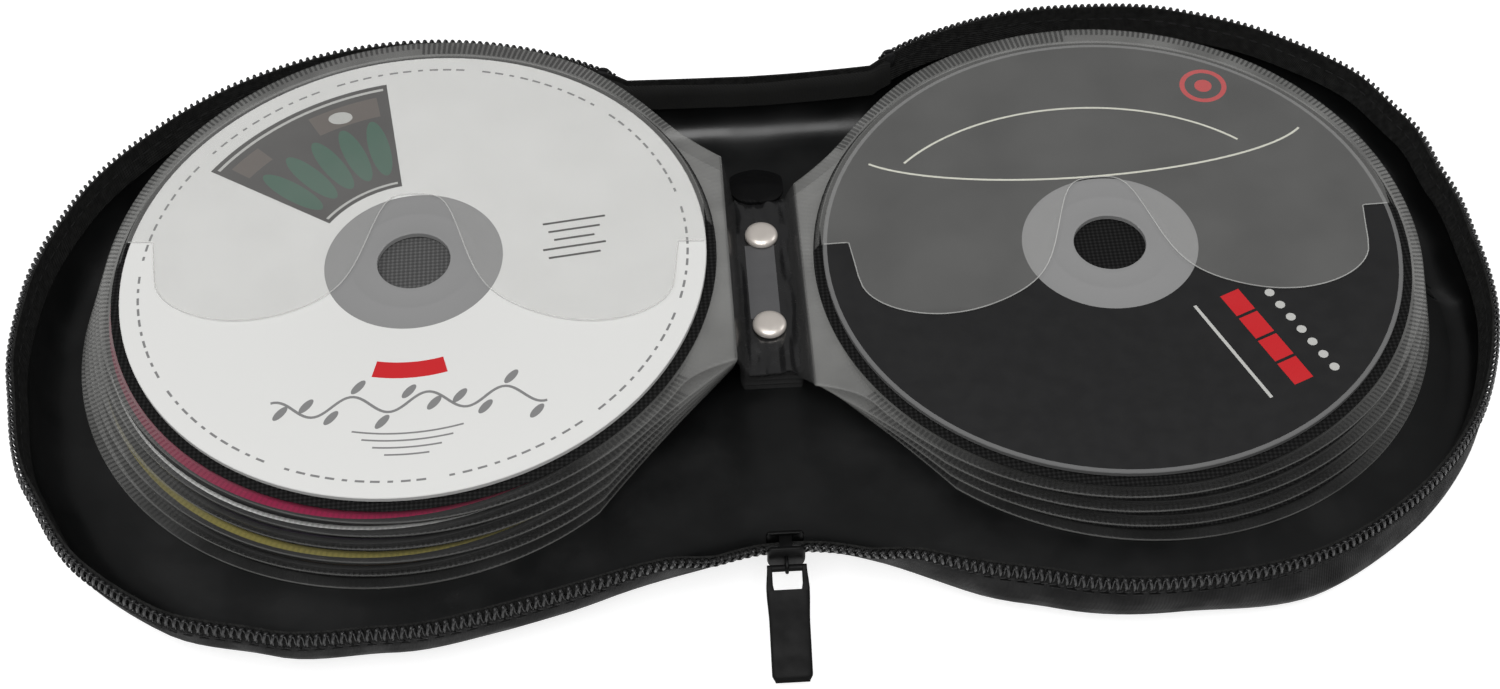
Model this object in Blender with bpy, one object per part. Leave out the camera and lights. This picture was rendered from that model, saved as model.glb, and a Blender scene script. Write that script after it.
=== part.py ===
"""Round zip case for compact discs, lying open on its two covers.

Each half is a shallow fabric tray stiffened by a board, with a zip tape round its rim. A narrow
spine joins the halves. Clear sleeves are riveted to the spine and lie in a fanned stack on each
half, with a disc in each. Metres, +Z up, +Y away from the zip slider. The origin is under the
middle of the spine, on the surface that the case lies on.
"""
import math

import bmesh
import bpy
from mathutils import Matrix, Vector

MM = 0.001

# Compact disc
DISC_RADIUS = 60 * MM
DISC_HOLE_RADIUS = 7.5 * MM
DISC_THICKNESS = 1.2 * MM
DISC_STEPS = 36
DISC_HOLE_STEPS = 14

# Clear sleeve with its divider sheet
FILM_THICKNESS = 0.15 * MM
WELD_THICKNESS = 0.5 * MM
SHEET_GAP = 0.2 * MM
DIVIDER_THICKNESS = 0.2 * MM
DIVIDER_MARGIN = 0.2 * MM
DIVIDER_STEPS = 24
WELD_WIDTH = 2.5 * MM
SHOULDER_RUN = 1.1 * MM
DISC_PLAY = 0.9 * MM
POCKET_WALL = 0.3 * MM
NECK_HALF_WIDTH = 25 * MM
NECK_START_ANGLE = math.radians(36)
SLEEVE_STEPS = 28
FINGER_ARCH_RADIUS = 18 * MM
MOUTH_LINE_Y = 1 * MM
MOUTH_ARC_STEPS = 6
MOUTH_CUT_ABOVE_WELD = 0.12 * MM

# The two halves, seen from above
SPINE_TO_SLEEVE = 1.5 * MM
SLEEVE_TO_ZIP = 15 * MM
FRONT_SETBACK = 15.5 * MM
BACK_SETBACK = 14.5 * MM
ARC_STEPS = 22

# Spine and fold axes
SPINE_HALF_WIDTH = 6.5 * MM
CLOSED_THICKNESS = 37.4 * MM
FOLD_GAP = 0.3 * MM
LAYER_GAP = 0.3 * MM

# Layers of the covers, from the outside in
COVER_THICKNESS = 0.8 * MM
COVER_HEIGHT = 9 * MM
WALL_TOP_INSET = 1.6 * MM
WALL_FOOT_INSET = 9 * MM
WALL_STEPS = 4
BOARD_THICKNESS = 0.8 * MM
LINING_THICKNESS = 0.4 * MM

# Zip
RIM_HEIGHT = 18.2 * MM
RIM_HEIGHT_AT_SLIDER = 13 * MM
RIM_DIP_NEAR_X = 13.5 * MM
RIM_DIP_FAR_X = 24 * MM
DIP_STEPS = 8
TOOTH_PITCH = 1.6 * MM
TOOTH_DEPTH = 0.9 * MM
CHAIN_HEIGHT = 1.5 * MM
CHAIN_HALF_WIDTH = 1.1 * MM
TEETH_IN_A_BLOCK = 8
TAPE_INSET = 0.1 * MM
TAPE_THICKNESS = 0.9 * MM
STOP_LENGTH = 3 * MM
STOP_HALF_WIDTH = 1.3 * MM
GUSSET_HEIGHT = 2.2 * MM
GUSSET_SETTING_OUT = 0.6 * MM

# Stacks of sleeves: one entry for each half, with the play between the half's and the stack's centre
DISC_CENTRE_Y = 8.5 * MM
NECK_REACH_X = 7.7 * MM
STACK_OFFSET_X = -0.3 * MM
STACKS = {
    "left": {
        "side": -1,
        "leaves": 6,
        "top": 20.5 * MM,
        "slope": math.tan(math.radians(2.3)),
        "fan_x": 5.6 * MM,
        "fan_y": -4.2 * MM,
        "discs": ["brown", "olive", "violet", "white", "magenta", "white"],
    },
    "right": {
        "side": 1,
        "leaves": 4,
        "top": 16.3 * MM,
        "slope": -math.tan(math.radians(2.3)),
        "fan_x": 3.5 * MM,
        "fan_y": -2.6 * MM,
        "discs": ["silver", "blue", "white", "black"],
    },
}

# Riveted stack of sleeve tabs on the spine
TAB_HALF_WIDTH = 7 * MM
TAB_HALF_LENGTH = 25 * MM
TAB_THICKNESS_EACH = 0.5 * MM
STRIP_HALF_WIDTH = 6.2 * MM
STRIP_THICKNESS = 0.6 * MM
CORNER_CUT = 2 * MM
RIVET_SPACING = 25 * MM
RIVET_SHANK_RADIUS = 1.75 * MM
RIVET_HEAD_RADIUS = 3.5 * MM
RIVET_HEAD_HEIGHT = 1.3 * MM
RIVET_CLEARANCE = 0.3 * MM
RIVET_STEPS = 16
WASHER_THICKNESS = 0.5 * MM

# Slider and pull
SLIDER_X = -1.3 * MM
SLIDER_HALF_WIDTH = 3.6 * MM
SLIDER_TOP = 17 * MM
SLIDER_PLATE = 0.9 * MM
SLIDER_CHANNEL = 2.7 * MM
SLIDER_POST_HALF_WIDTH = 1.2 * MM
PULL_AXIS_Z = 13 * MM
PULL_THICKNESS = 1.4 * MM
PULL_CLEARANCE = 0.75 * MM
PULL_HALF_WIDTH = 4.1 * MM
PULL_LENGTH = 22 * MM
PULL_SLOT_LENGTH = 4.5 * MM
PULL_ARM_WIDTH = 1.3 * MM
PULL_END_LIFT = 0.4 * MM
BAIL_THICKNESS = 1 * MM
BAIL_WIDTH = 1.6 * MM
BAIL_HALF_HEIGHT = 2.8 * MM
NOSE_STEPS = 10

# Heights and places that follow from the sizes above
POCKET_RADIUS = DISC_RADIUS + DISC_PLAY
SLEEVE_RADIUS = POCKET_RADIUS + SHOULDER_RUN + WELD_WIDTH
HALF_RADIUS = SLEEVE_RADIUS + SLEEVE_TO_ZIP
HALF_CENTRE_X = SPINE_HALF_WIDTH + SPINE_TO_SLEEVE + SLEEVE_RADIUS
STACK_CENTRE_X = HALF_CENTRE_X + STACK_OFFSET_X
FRONT_Y = HALF_RADIUS - FRONT_SETBACK
BACK_Y = HALF_RADIUS - BACK_SETBACK
EDGE_X = SPINE_HALF_WIDTH + FOLD_GAP
FOLD_AXIS_Z = CLOSED_THICKNESS / 2 - SPINE_HALF_WIDTH
BOARD_BASE = COVER_THICKNESS + LAYER_GAP
LINING_BASE = BOARD_BASE + BOARD_THICKNESS + LAYER_GAP
LINING_TOP = LINING_BASE + LINING_THICKNESS
STACK_BASE = LINING_TOP + LAYER_GAP
TAPE_BASE = COVER_HEIGHT + LAYER_GAP
GUSSET_TOP = TAPE_BASE + GUSSET_HEIGHT
DIVIDER_BASE = FILM_THICKNESS + SHEET_GAP
DISC_BASE = DIVIDER_BASE + DIVIDER_THICKNESS + SHEET_GAP
LEAF_HEIGHT = DISC_BASE + DISC_THICKNESS + SHEET_GAP + FILM_THICKNESS
TAB_COUNT = sum(stack["leaves"] for stack in STACKS.values())
TAB_TOP = STACK_BASE + TAB_COUNT * TAB_THICKNESS_EACH
STRIP_BASE = TAB_TOP + LAYER_GAP
STRIP_TOP = STRIP_BASE + STRIP_THICKNESS
RIVET_HEAD_BASE = STRIP_TOP + LAYER_GAP
RIVET_SHANK_BASE = BOARD_BASE + WASHER_THICKNESS + LAYER_GAP
RIVET_YS = (DISC_CENTRE_Y - RIVET_SPACING / 2, DISC_CENTRE_Y + RIVET_SPACING / 2)
RIVET_HOLE_RADIUS = RIVET_SHANK_RADIUS + RIVET_CLEARANCE
SLIDER_MIDDLE_Y = -FRONT_Y + TAPE_INSET + TAPE_THICKNESS / 2
SLIDER_FRONT_Y = SLIDER_MIDDLE_Y - SLIDER_CHANNEL / 2 - SLIDER_PLATE
PULL_AXIS_Y = SLIDER_FRONT_Y - PULL_THICKNESS / 2 - PULL_CLEARANCE

COLOURS = {
    "cover_fabric": ((0.012, 0.012, 0.013), 0.85, 0.0),
    "lining_satin": ((0.010, 0.011, 0.012), 0.35, 0.0),
    "board": ((0.05, 0.05, 0.05), 0.8, 0.0),
    "zip_tape": ((0.014, 0.014, 0.015), 0.9, 0.0),
    "zip_teeth": ((0.02, 0.02, 0.02), 0.4, 0.0),
    "clear_film": ((0.30, 0.30, 0.30), 0.25, 0.0),
    "divider": ((0.02, 0.02, 0.02), 0.9, 0.0),
    "strip_vinyl": ((0.05, 0.05, 0.052), 0.3, 0.0),
    "nickel": ((0.75, 0.72, 0.68), 0.25, 1.0),
    "slider_metal": ((0.02, 0.02, 0.02), 0.4, 0.6),
    "pull_rubber": ((0.015, 0.015, 0.015), 0.6, 0.0),
    "disc_white": ((0.80, 0.80, 0.79), 0.3, 0.0),
    "disc_black": ((0.02, 0.02, 0.02), 0.3, 0.0),
    "disc_magenta": ((0.27, 0.004, 0.05), 0.3, 0.0),
    "disc_olive": ((0.22, 0.19, 0.05), 0.3, 0.0),
    "disc_violet": ((0.04, 0.03, 0.05), 0.3, 0.0),
    "disc_brown": ((0.16, 0.10, 0.05), 0.3, 0.0),
    "disc_silver": ((0.60, 0.60, 0.62), 0.2, 0.0),
    "disc_blue": ((0.03, 0.07, 0.20), 0.3, 0.0),
}


def clear_scene():
    """Remove every object of the open file."""
    for item in list(bpy.data.objects):
        bpy.data.objects.remove(item, do_unlink=True)


def material(name):
    """Principled material of one of the named colours."""
    found = bpy.data.materials.get(name)
    if found:
        return found
    colour, roughness, metallic = COLOURS[name]
    made = bpy.data.materials.new(name)
    made.use_nodes = True
    shader = made.node_tree.nodes["Principled BSDF"]
    shader.inputs["Base Color"].default_value = (*colour, 1.0)
    shader.inputs["Roughness"].default_value = roughness
    shader.inputs["Metallic"].default_value = metallic
    return made


def finish_mesh(name, mesh_data, finish, smooth=False):
    """Turn a bmesh into an object with its faces pointing out."""
    bmesh.ops.recalc_face_normals(mesh_data, faces=mesh_data.faces)
    mesh = bpy.data.meshes.new(name)
    mesh_data.to_mesh(mesh)
    mesh_data.free()
    if smooth:
        mesh.shade_smooth()
        mesh.set_sharp_from_angle(angle=math.radians(40))
    made = bpy.data.objects.new(name, mesh)
    bpy.context.scene.collection.objects.link(made)
    mesh.materials.append(material(finish))
    return made


def axis_empty(name, location, parent=None):
    """Empty on a fold axis, which carries the pieces that turn about it."""
    made = bpy.data.objects.new(name, None)
    bpy.context.scene.collection.objects.link(made)
    made.matrix_world = Matrix.Translation(location)
    if parent:
        hang(made, parent, Vector(parent.matrix_world.translation))
    return made


def hang(item, parent, place):
    """Parent an object to an empty at a place, and leave it where it is."""
    item.parent = parent
    item.matrix_parent_inverse = Matrix.Translation(-place)


def add_boolean(target, cutter, operation):
    """Apply a cutter or an added shape to an object through a Boolean modifier."""
    cutter.hide_render = True
    cutter.display_type = "WIRE"
    change = target.modifiers.new(cutter.name, "BOOLEAN")
    change.operation = operation
    change.object = cutter
    return change


def prism(name, outline, base, top, finish):
    """Closed prism over an outline of (x, y) points."""
    shape = bmesh.new()
    low = [shape.verts.new((x, y, base)) for x, y in outline]
    high = [shape.verts.new((x, y, top)) for x, y in outline]
    shape.faces.new(low)
    shape.faces.new(high)
    for index in range(len(outline)):
        after = (index + 1) % len(outline)
        shape.faces.new((low[index], low[after], high[after], high[index]))
    return finish_mesh(name, shape, finish)


def circle_points(radius, steps, centre=(0.0, 0.0)):
    """Points of a circle about a centre, with no point straight ahead of it."""
    turns = [2 * math.pi * (step + 0.5) / steps for step in range(steps)]
    return [(centre[0] + radius * math.cos(turn), centre[1] + radius * math.sin(turn)) for turn in turns]


def turned(name, profile, steps, finish):
    """Solid turned about Z from (radius, height) points that start and end on the axis."""
    shape = bmesh.new()
    rings = []
    for radius, height in profile[1:-1]:
        ring = [shape.verts.new((x, y, height)) for x, y in circle_points(radius, steps)]
        rings.append(ring)
    for ring, after in zip(rings, rings[1:]):
        for index in range(steps):
            beside = (index + 1) % steps
            shape.faces.new((ring[index], ring[beside], after[beside], after[index]))
    first = shape.verts.new((0, 0, profile[0][1]))
    last = shape.verts.new((0, 0, profile[-1][1]))
    for index in range(steps):
        beside = (index + 1) % steps
        shape.faces.new((first, rings[0][index], rings[0][beside]))
        shape.faces.new((last, rings[-1][index], rings[-1][beside]))
    return finish_mesh(name, shape, finish, smooth=True)


def front_lean():
    """Angle at which the straight front run leaves the spine to meet the round."""
    across = HALF_CENTRE_X - SPINE_HALF_WIDTH
    reach = math.hypot(across, FRONT_Y)
    return math.asin(HALF_RADIUS / reach) - math.atan2(FRONT_Y, across)


def front_y(x, inset):
    """Front edge of the case at a distance x from the middle: straight across the spine."""
    lean = front_lean()
    beyond = max(0.0, abs(x) - SPINE_HALF_WIDTH)
    return -FRONT_Y - math.tan(lean) * beyond + inset / math.cos(lean)


def rim_height(x):
    """Height of the tooth tips, which drop towards the slider."""
    share = (x - RIM_DIP_NEAR_X) / (RIM_DIP_FAR_X - RIM_DIP_NEAR_X)
    share = min(1.0, max(0.0, share))
    smooth = share * share * (3 - 2 * share)
    return RIM_HEIGHT_AT_SLIDER + (RIM_HEIGHT - RIM_HEIGHT_AT_SLIDER) * smooth


def arc_points(inset):
    """Round part of a half's outline, from its front tangent to the straight back."""
    radius = HALF_RADIUS - inset
    start = -math.pi / 2 - front_lean()
    end = math.pi - math.asin((BACK_Y - inset) / radius)
    turns = [start + (end - start) * step / ARC_STEPS for step in range(ARC_STEPS + 1)]
    return [(HALF_CENTRE_X + radius * math.cos(turn), radius * math.sin(turn)) for turn in turns]


def half_outline(inset, dip_steps=0):
    """Open outline of the right half, from the spine at the front round to the spine at the back."""
    run = RIM_DIP_FAR_X - RIM_DIP_NEAR_X
    dip = [RIM_DIP_NEAR_X + run * step / dip_steps for step in range(dip_steps + 1)] if dip_steps else []
    front = [(x, front_y(x, inset)) for x in [EDGE_X] + dip]
    return front + arc_points(inset) + [(EDGE_X, BACK_Y - inset)]


def wall_section(top_inset, top, floor):
    """Quarter of an ellipse from a wall's top down to the floor, as (inset, height) points."""
    across = WALL_FOOT_INSET - top_inset
    turns = [math.pi / 2 * step / WALL_STEPS for step in range(WALL_STEPS + 1)]
    return [(WALL_FOOT_INSET - across * math.cos(t), top - (top - floor) * math.sin(t)) for t in turns]


def cover_profile():
    """Outside and inside of the cover fabric as (inset, height) points."""
    outer = wall_section(WALL_TOP_INSET, COVER_HEIGHT, 0.0)
    inner = wall_section(WALL_TOP_INSET + COVER_THICKNESS, COVER_HEIGHT, COVER_THICKNESS)
    return outer, inner[::-1]


def lining_profile():
    """Outside and inside of the lining as (inset, height) points."""
    start = WALL_TOP_INSET + COVER_THICKNESS + LAYER_GAP
    top = COVER_HEIGHT - LAYER_GAP
    outer = wall_section(start, top, LINING_BASE)
    inner = wall_section(start + LINING_THICKNESS, top, LINING_TOP)
    return outer, inner[::-1]


def half_tray(name, side, profile, finish):
    """Half of the open tray: a floor and a wall that follow the outline, cut off at the spine."""
    outer, inner = profile
    shape = bmesh.new()
    rings = []
    for inset, height in outer + inner:
        rings.append([shape.verts.new((side * x, y, height)) for x, y in half_outline(inset)])
    steps = len(rings[0])
    pairs = list(zip(rings, rings[1:] + rings[:1]))
    for index, (ring, after) in enumerate(pairs):
        if index == len(outer) - 1:
            continue
        for step in range(steps - 1):
            shape.faces.new((ring[step], ring[step + 1], after[step + 1], after[step]))
    outside, inside = rings[: len(outer)], rings[len(outer):]
    shape.faces.new(outside[-1])
    shape.faces.new(inside[0])
    end = [ring[0] for ring in outside] + [ring[-1] for ring in reversed(outside)]
    end += [ring[-1] for ring in reversed(inside)] + [ring[0] for ring in inside]
    shape.faces.new(end)
    return finish_mesh(name, shape, finish, smooth=True)


def spine_tray(name, profile, finish):
    """Stretch of the tray between the halves."""
    outer, inner = profile
    shape = bmesh.new()
    sections = []
    for x in (-SPINE_HALF_WIDTH, SPINE_HALF_WIDTH):
        points = [(front_y(x, inset), height) for inset, height in outer]
        points += [(BACK_Y - inset, height) for inset, height in reversed(outer)]
        points += [(BACK_Y - inset, height) for inset, height in reversed(inner)]
        points += [(front_y(x, inset), height) for inset, height in inner]
        sections.append([shape.verts.new((x, y, z)) for y, z in points])
    for section, after in zip(sections, sections[1:]):
        for index in range(len(section)):
            beside = (index + 1) % len(section)
            shape.faces.new((section[index], section[beside], after[beside], after[index]))
    shape.faces.new(sections[0])
    shape.faces.new(sections[-1])
    return finish_mesh(name, shape, finish)


def band(name, outside, inside, heights, finish):
    """Upright band between two open paths, with a (base, top) height at each step."""
    lanes = (outside, outside, inside, inside)
    heights = [(base, top, top, base) for base, top in heights]
    return lofted_band(name, lanes, heights, finish)


def lofted_band(name, lanes, heights, finish):
    """Band along four open paths, the edges of its section, with the four heights at each step."""
    shape = bmesh.new()
    sections = []
    for step, levels in enumerate(heights):
        corners = [(*lane[step], level) for lane, level in zip(lanes, levels)]
        sections.append([shape.verts.new(corner) for corner in corners])
    for section, after in zip(sections, sections[1:]):
        for index in range(4):
            beside = (index + 1) % 4
            shape.faces.new((section[index], section[beside], after[beside], after[index]))
    shape.faces.new(sections[0])
    shape.faces.new(sections[-1])
    return finish_mesh(name, shape, finish)


def zip_tape(name, side):
    """Woven tape that leans out from the cover's edge and carries the teeth."""
    insets = (WALL_TOP_INSET, TAPE_INSET, TAPE_INSET + TAPE_THICKNESS, WALL_TOP_INSET + TAPE_THICKNESS)
    lanes = [half_outline(inset, DIP_STEPS)[:-1] for inset in insets]
    tops = [rim_height(x) - CHAIN_HEIGHT - LAYER_GAP for x, _ in lanes[1]]
    heights = [(TAPE_BASE, top, top, TAPE_BASE) for top in tops]
    lanes = [[(side * x, y) for x, y in lane] for lane in lanes]
    return lofted_band(name, lanes, heights, "zip_tape")


def back_wall(name, side):
    """Plain fabric wall between the end of the zip and the spine."""
    top = RIM_HEIGHT - CHAIN_HEIGHT - LAYER_GAP
    lanes = []
    for inset in (WALL_TOP_INSET, TAPE_INSET, TAPE_INSET + TAPE_THICKNESS, WALL_TOP_INSET + TAPE_THICKNESS):
        far = arc_points(inset)[-1][0] - LAYER_GAP
        lanes.append([(side * x, BACK_Y - inset) for x in (far, EDGE_X)])
    return lofted_band(name, lanes, [(TAPE_BASE, top, top, TAPE_BASE)] * 2, "cover_fabric")


def gusset(name, end_y):
    """Low fabric gusset that leans out over one end of the spine, inside the slider's channel."""
    foot = WALL_TOP_INSET - GUSSET_SETTING_OUT
    inward = -math.copysign(1.0, end_y)
    lanes = []
    for inset in (foot, TAPE_INSET, TAPE_INSET + TAPE_THICKNESS, foot + TAPE_THICKNESS):
        lanes.append([(x, end_y + inward * inset) for x in (-SPINE_HALF_WIDTH, SPINE_HALF_WIDTH)])
    return lofted_band(name, lanes, [(TAPE_BASE, GUSSET_TOP, GUSSET_TOP, TAPE_BASE)] * 2, "cover_fabric")


def chain_point(distance, inset):
    """Point of the zip's line at a distance from the spine, set in by an inset."""
    lean = front_lean()
    straight = (HALF_CENTRE_X - HALF_RADIUS * math.sin(lean) - EDGE_X) / math.cos(lean)
    if distance <= straight:
        x = EDGE_X + distance * math.cos(lean) + inset * math.sin(lean)
        y = front_y(EDGE_X, 0.0) - distance * math.sin(lean) + inset * math.cos(lean)
        return x, y
    turn = -math.pi / 2 - lean + (distance - straight) / HALF_RADIUS
    radius = HALF_RADIUS - inset
    return HALF_CENTRE_X + radius * math.cos(turn), radius * math.sin(turn)


def chain_length():
    """Length of one side of the zip, from the spine to its stop."""
    lean = front_lean()
    straight = (HALF_CENTRE_X - HALF_RADIUS * math.sin(lean) - EDGE_X) / math.cos(lean)
    swept = math.pi - math.asin(BACK_Y / HALF_RADIUS) + math.pi / 2 + lean
    return straight + swept * HALF_RADIUS - STOP_LENGTH - LAYER_GAP


def zip_teeth(name, side):
    """Row of teeth: a chain whose top rises and falls once in each pitch."""
    shape = bmesh.new()
    middle = TAPE_INSET + TAPE_THICKNESS / 2
    insets = (middle - CHAIN_HALF_WIDTH, middle + CHAIN_HALF_WIDTH)
    teeth = int(chain_length() / TOOTH_PITCH) - 1
    tops = []
    feet = {}
    for step in range(2 * teeth + 1):
        distance = TOOTH_PITCH / 2 * (step + 1)
        drop = 0.0 if step % 2 else TOOTH_DEPTH
        ends = [chain_point(distance, inset) for inset in insets]
        tops.append([shape.verts.new((side * x, y, rim_height(x) - drop)) for x, y in ends])
        in_dip = step % 2 == 0 and ends[0][0] < RIM_DIP_FAR_X and distance < HALF_RADIUS
        if in_dip or step % (2 * TEETH_IN_A_BLOCK) == 0 or step == 2 * teeth:
            feet[step] = [shape.verts.new((side * x, y, rim_height(x) - CHAIN_HEIGHT)) for x, y in ends]
    for pair, after in zip(tops, tops[1:]):
        shape.faces.new((pair[0], pair[1], after[1], after[0]))
    marks = sorted(feet)
    for first, last in zip(marks, marks[1:]):
        near, far = feet[first], feet[last]
        for lane in (0, 1):
            shape.faces.new([near[lane]] + [pair[lane] for pair in tops[first:last + 1]] + [far[lane]])
        shape.faces.new((near[0], near[1], far[1], far[0]))
    for step in (marks[0], marks[-1]):
        shape.faces.new((feet[step][0], feet[step][1], tops[step][1], tops[step][0]))
    return finish_mesh(name, shape, "zip_teeth")


def zip_stop(name, side):
    """Block that closes the row of teeth at the back."""
    middle = TAPE_INSET + TAPE_THICKNESS / 2
    start = chain_length() + LAYER_GAP
    ends = (start, start + STOP_LENGTH)
    outside = [chain_point(distance, middle - STOP_HALF_WIDTH) for distance in ends]
    inside = [chain_point(distance, middle + STOP_HALF_WIDTH) for distance in ends]
    outside = [(side * x, y) for x, y in outside]
    inside = [(side * x, y) for x, y in inside]
    return band(name, outside, inside, [(RIM_HEIGHT - CHAIN_HEIGHT, RIM_HEIGHT)] * 2, "zip_teeth")


def neck_radius(turn, reach):
    """Distance from the disc's centre to the sleeve's edge: round, with a neck towards +X."""
    turn = abs(math.atan2(math.sin(turn), math.cos(turn)))
    corner = math.atan2(NECK_HALF_WIDTH, reach)
    if turn >= NECK_START_ANGLE:
        return SLEEVE_RADIUS
    if turn <= corner:
        return reach / math.cos(turn)
    leave = Vector((math.cos(NECK_START_ANGLE), math.sin(NECK_START_ANGLE))) * SLEEVE_RADIUS
    arrive = Vector((reach, NECK_HALF_WIDTH))
    run = arrive - leave
    ray = Vector((math.cos(turn), math.sin(turn)))
    return (leave.x * run.y - leave.y * run.x) / (ray.x * run.y - ray.y * run.x)


def mouth_outline():
    """Outline of the pocket's open part: two lobes beside an arch round the disc's hub."""
    lobe = (DISC_RADIUS - FINGER_ARCH_RADIUS) / 2
    points = []
    for centre, radius, way in ((-FINGER_ARCH_RADIUS - lobe, lobe, -1), (0.0, FINGER_ARCH_RADIUS, 1),
                                (FINGER_ARCH_RADIUS + lobe, lobe, -1)):
        for step in range(MOUTH_ARC_STEPS):
            turn = math.pi - math.pi * step / MOUTH_ARC_STEPS
            points.append((centre + radius * math.cos(turn), MOUTH_LINE_Y + way * radius * math.sin(turn)))
    side = SLEEVE_RADIUS
    points += [(DISC_RADIUS, MOUTH_LINE_Y), (side, MOUTH_LINE_Y), (side, -side), (-side, -side), (-side, MOUTH_LINE_Y)]
    return points


def sleeve(name, reach, side):
    """Clear pocket: a back sheet with a flat weld round it, and a front sheet open at the mouth."""
    shape = bmesh.new()
    weld_inner = SLEEVE_RADIUS - WELD_WIDTH
    shoulder = POCKET_RADIUS
    turns = [2 * math.pi * step / SLEEVE_STEPS for step in range(SLEEVE_STEPS)]

    def ring(radius_at, height):
        return [shape.verts.new((-side * radius_at(t) * math.cos(t), radius_at(t) * math.sin(t), height)) for t in turns]

    def strip(low, high):
        for index in range(SLEEVE_STEPS):
            beside = (index + 1) % SLEEVE_STEPS
            shape.faces.new((low[index], low[beside], high[beside], high[index]))

    edge_low = ring(lambda t: neck_radius(t, reach), 0.0)
    edge_high = ring(lambda t: neck_radius(t, reach), WELD_THICKNESS)
    weld = ring(lambda t: weld_inner, WELD_THICKNESS)
    top = ring(lambda t: shoulder, LEAF_HEIGHT)
    shape.faces.new(edge_low)
    strip(edge_low, edge_high)
    strip(edge_high, weld)
    strip(weld, top)
    shape.faces.new(top)
    bmesh.ops.recalc_face_normals(shape, faces=shape.faces)
    outside = set(shape.faces)
    pocket_low = ring(lambda t: weld_inner - POCKET_WALL, FILM_THICKNESS)
    pocket_high = ring(lambda t: shoulder - POCKET_WALL / 2, LEAF_HEIGHT - FILM_THICKNESS)
    shape.faces.new(pocket_low)
    strip(pocket_low, pocket_high)
    shape.faces.new(pocket_high)
    pocket = [face for face in shape.faces if face not in outside]
    bmesh.ops.recalc_face_normals(shape, faces=pocket)
    bmesh.ops.reverse_faces(shape, faces=pocket)
    mesh = bpy.data.meshes.new(name)
    shape.to_mesh(mesh)
    shape.free()
    made = bpy.data.objects.new(name, mesh)
    bpy.context.scene.collection.objects.link(made)
    mesh.materials.append(material("clear_film"))
    return made


def disc(name, finish):
    """Disc with its centre hole."""
    shape = bmesh.new()
    rings = []
    for height in (0.0, DISC_THICKNESS):
        for radius, steps in ((DISC_RADIUS, DISC_STEPS), (DISC_HOLE_RADIUS, DISC_HOLE_STEPS)):
            rings.append([shape.verts.new((x, y, height)) for x, y in circle_points(radius, steps)])
    low_rim, low_hole, high_rim, high_hole = rings
    for low, high in ((low_rim, high_rim), (low_hole, high_hole)):
        for index in range(len(low)):
            beside = (index + 1) % len(low)
            shape.faces.new((low[index], low[beside], high[beside], high[index]))
    for rim, hole in ((low_rim, low_hole), (high_rim, high_hole)):
        loops = [shape.edges.get((ring[i], ring[(i + 1) % len(ring)])) for ring in (rim, hole) for i in range(len(ring))]
        bmesh.ops.triangle_fill(shape, use_beauty=True, edges=loops)
    return finish_mesh(name, shape, finish, smooth=True)


def leaf_place(stack, leaf):
    """Base height at the stack's centre, slope and fan offset of one leaf, counted from the bottom."""
    share = leaf / (stack["leaves"] - 1)
    top_base = stack["top"] - LEAF_HEIGHT
    height = STACK_BASE + (top_base - STACK_BASE) * share
    return height, stack["slope"] * share, stack["fan_x"] * (1 - share), stack["fan_y"] * (1 - share)


def build_leaves(word, stack, mouth):
    """All leaves of one stack, each with its sleeve, divider and disc on a tilted empty."""
    side = stack["side"]
    for leaf in range(stack["leaves"]):
        height, slope, shift_x, shift_y = leaf_place(stack, leaf)
        label = f"{word}_{leaf + 1}"
        frame = bpy.data.objects.new(f"leaf_frame_{label}", None)
        bpy.context.scene.collection.objects.link(frame)
        centre_x = STACK_CENTRE_X + shift_x
        frame.location = (side * centre_x, DISC_CENTRE_Y + shift_y, height - slope * shift_x)
        frame.rotation_euler = (0.0, side * math.atan(slope), 0.0)
        pocket = sleeve(f"sleeve_{label}", centre_x - NECK_REACH_X, side)
        cutter = prism(f"mouth_cutter_{label}", mouth, WELD_THICKNESS + MOUTH_CUT_ABOVE_WELD, 2 * LEAF_HEIGHT, "clear_film")
        add_boolean(pocket, cutter, "DIFFERENCE")
        sheet = prism(f"divider_{label}", circle_points(DISC_RADIUS + DIVIDER_MARGIN, DIVIDER_STEPS),
                      DIVIDER_BASE, DIVIDER_BASE + DIVIDER_THICKNESS, "divider")
        plate = disc(f"disc_{label}", f"disc_{stack['discs'][leaf]}")
        plate.location.z = DISC_BASE
        for item in (pocket, cutter, sheet, plate):
            item.parent = frame


def build_half(word, side):
    """Cover, board, lining and zip of one half."""
    half_tray(f"cover_{word}", side, cover_profile(), "cover_fabric")
    board = [(side * x, y) for x, y in half_outline(WALL_FOOT_INSET)]
    prism(f"stiffener_board_{word}", board, BOARD_BASE, BOARD_BASE + BOARD_THICKNESS, "board")
    half_tray(f"lining_{word}", side, lining_profile(), "lining_satin")
    zip_tape(f"zip_tape_{word}", side)
    zip_teeth(f"zip_teeth_{word}", side)
    zip_stop(f"zip_stop_{word}", side)
    back_wall(f"back_wall_{word}", side)


def cut_corner_plate(half_width, half_length):
    """Outline of a plate with cut corners, about the rivets' middle."""
    near, far = half_width - CORNER_CUT, half_length - CORNER_CUT
    corner = [(half_width, -far), (half_width, far), (near, half_length), (-near, half_length)]
    corner += [(-half_width, far), (-half_width, -far), (-near, -half_length), (near, -half_length)]
    return [(x, DISC_CENTRE_Y + y) for x, y in corner]


def drill(target, radius, base, top):
    """Holes for the two rivets through one plate."""
    for number, y in enumerate(RIVET_YS):
        hole = prism(f"{target.name}_hole_{number + 1}", circle_points(radius, RIVET_STEPS, (0.0, y)), base, top, "board")
        add_boolean(target, hole, "DIFFERENCE")


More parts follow.
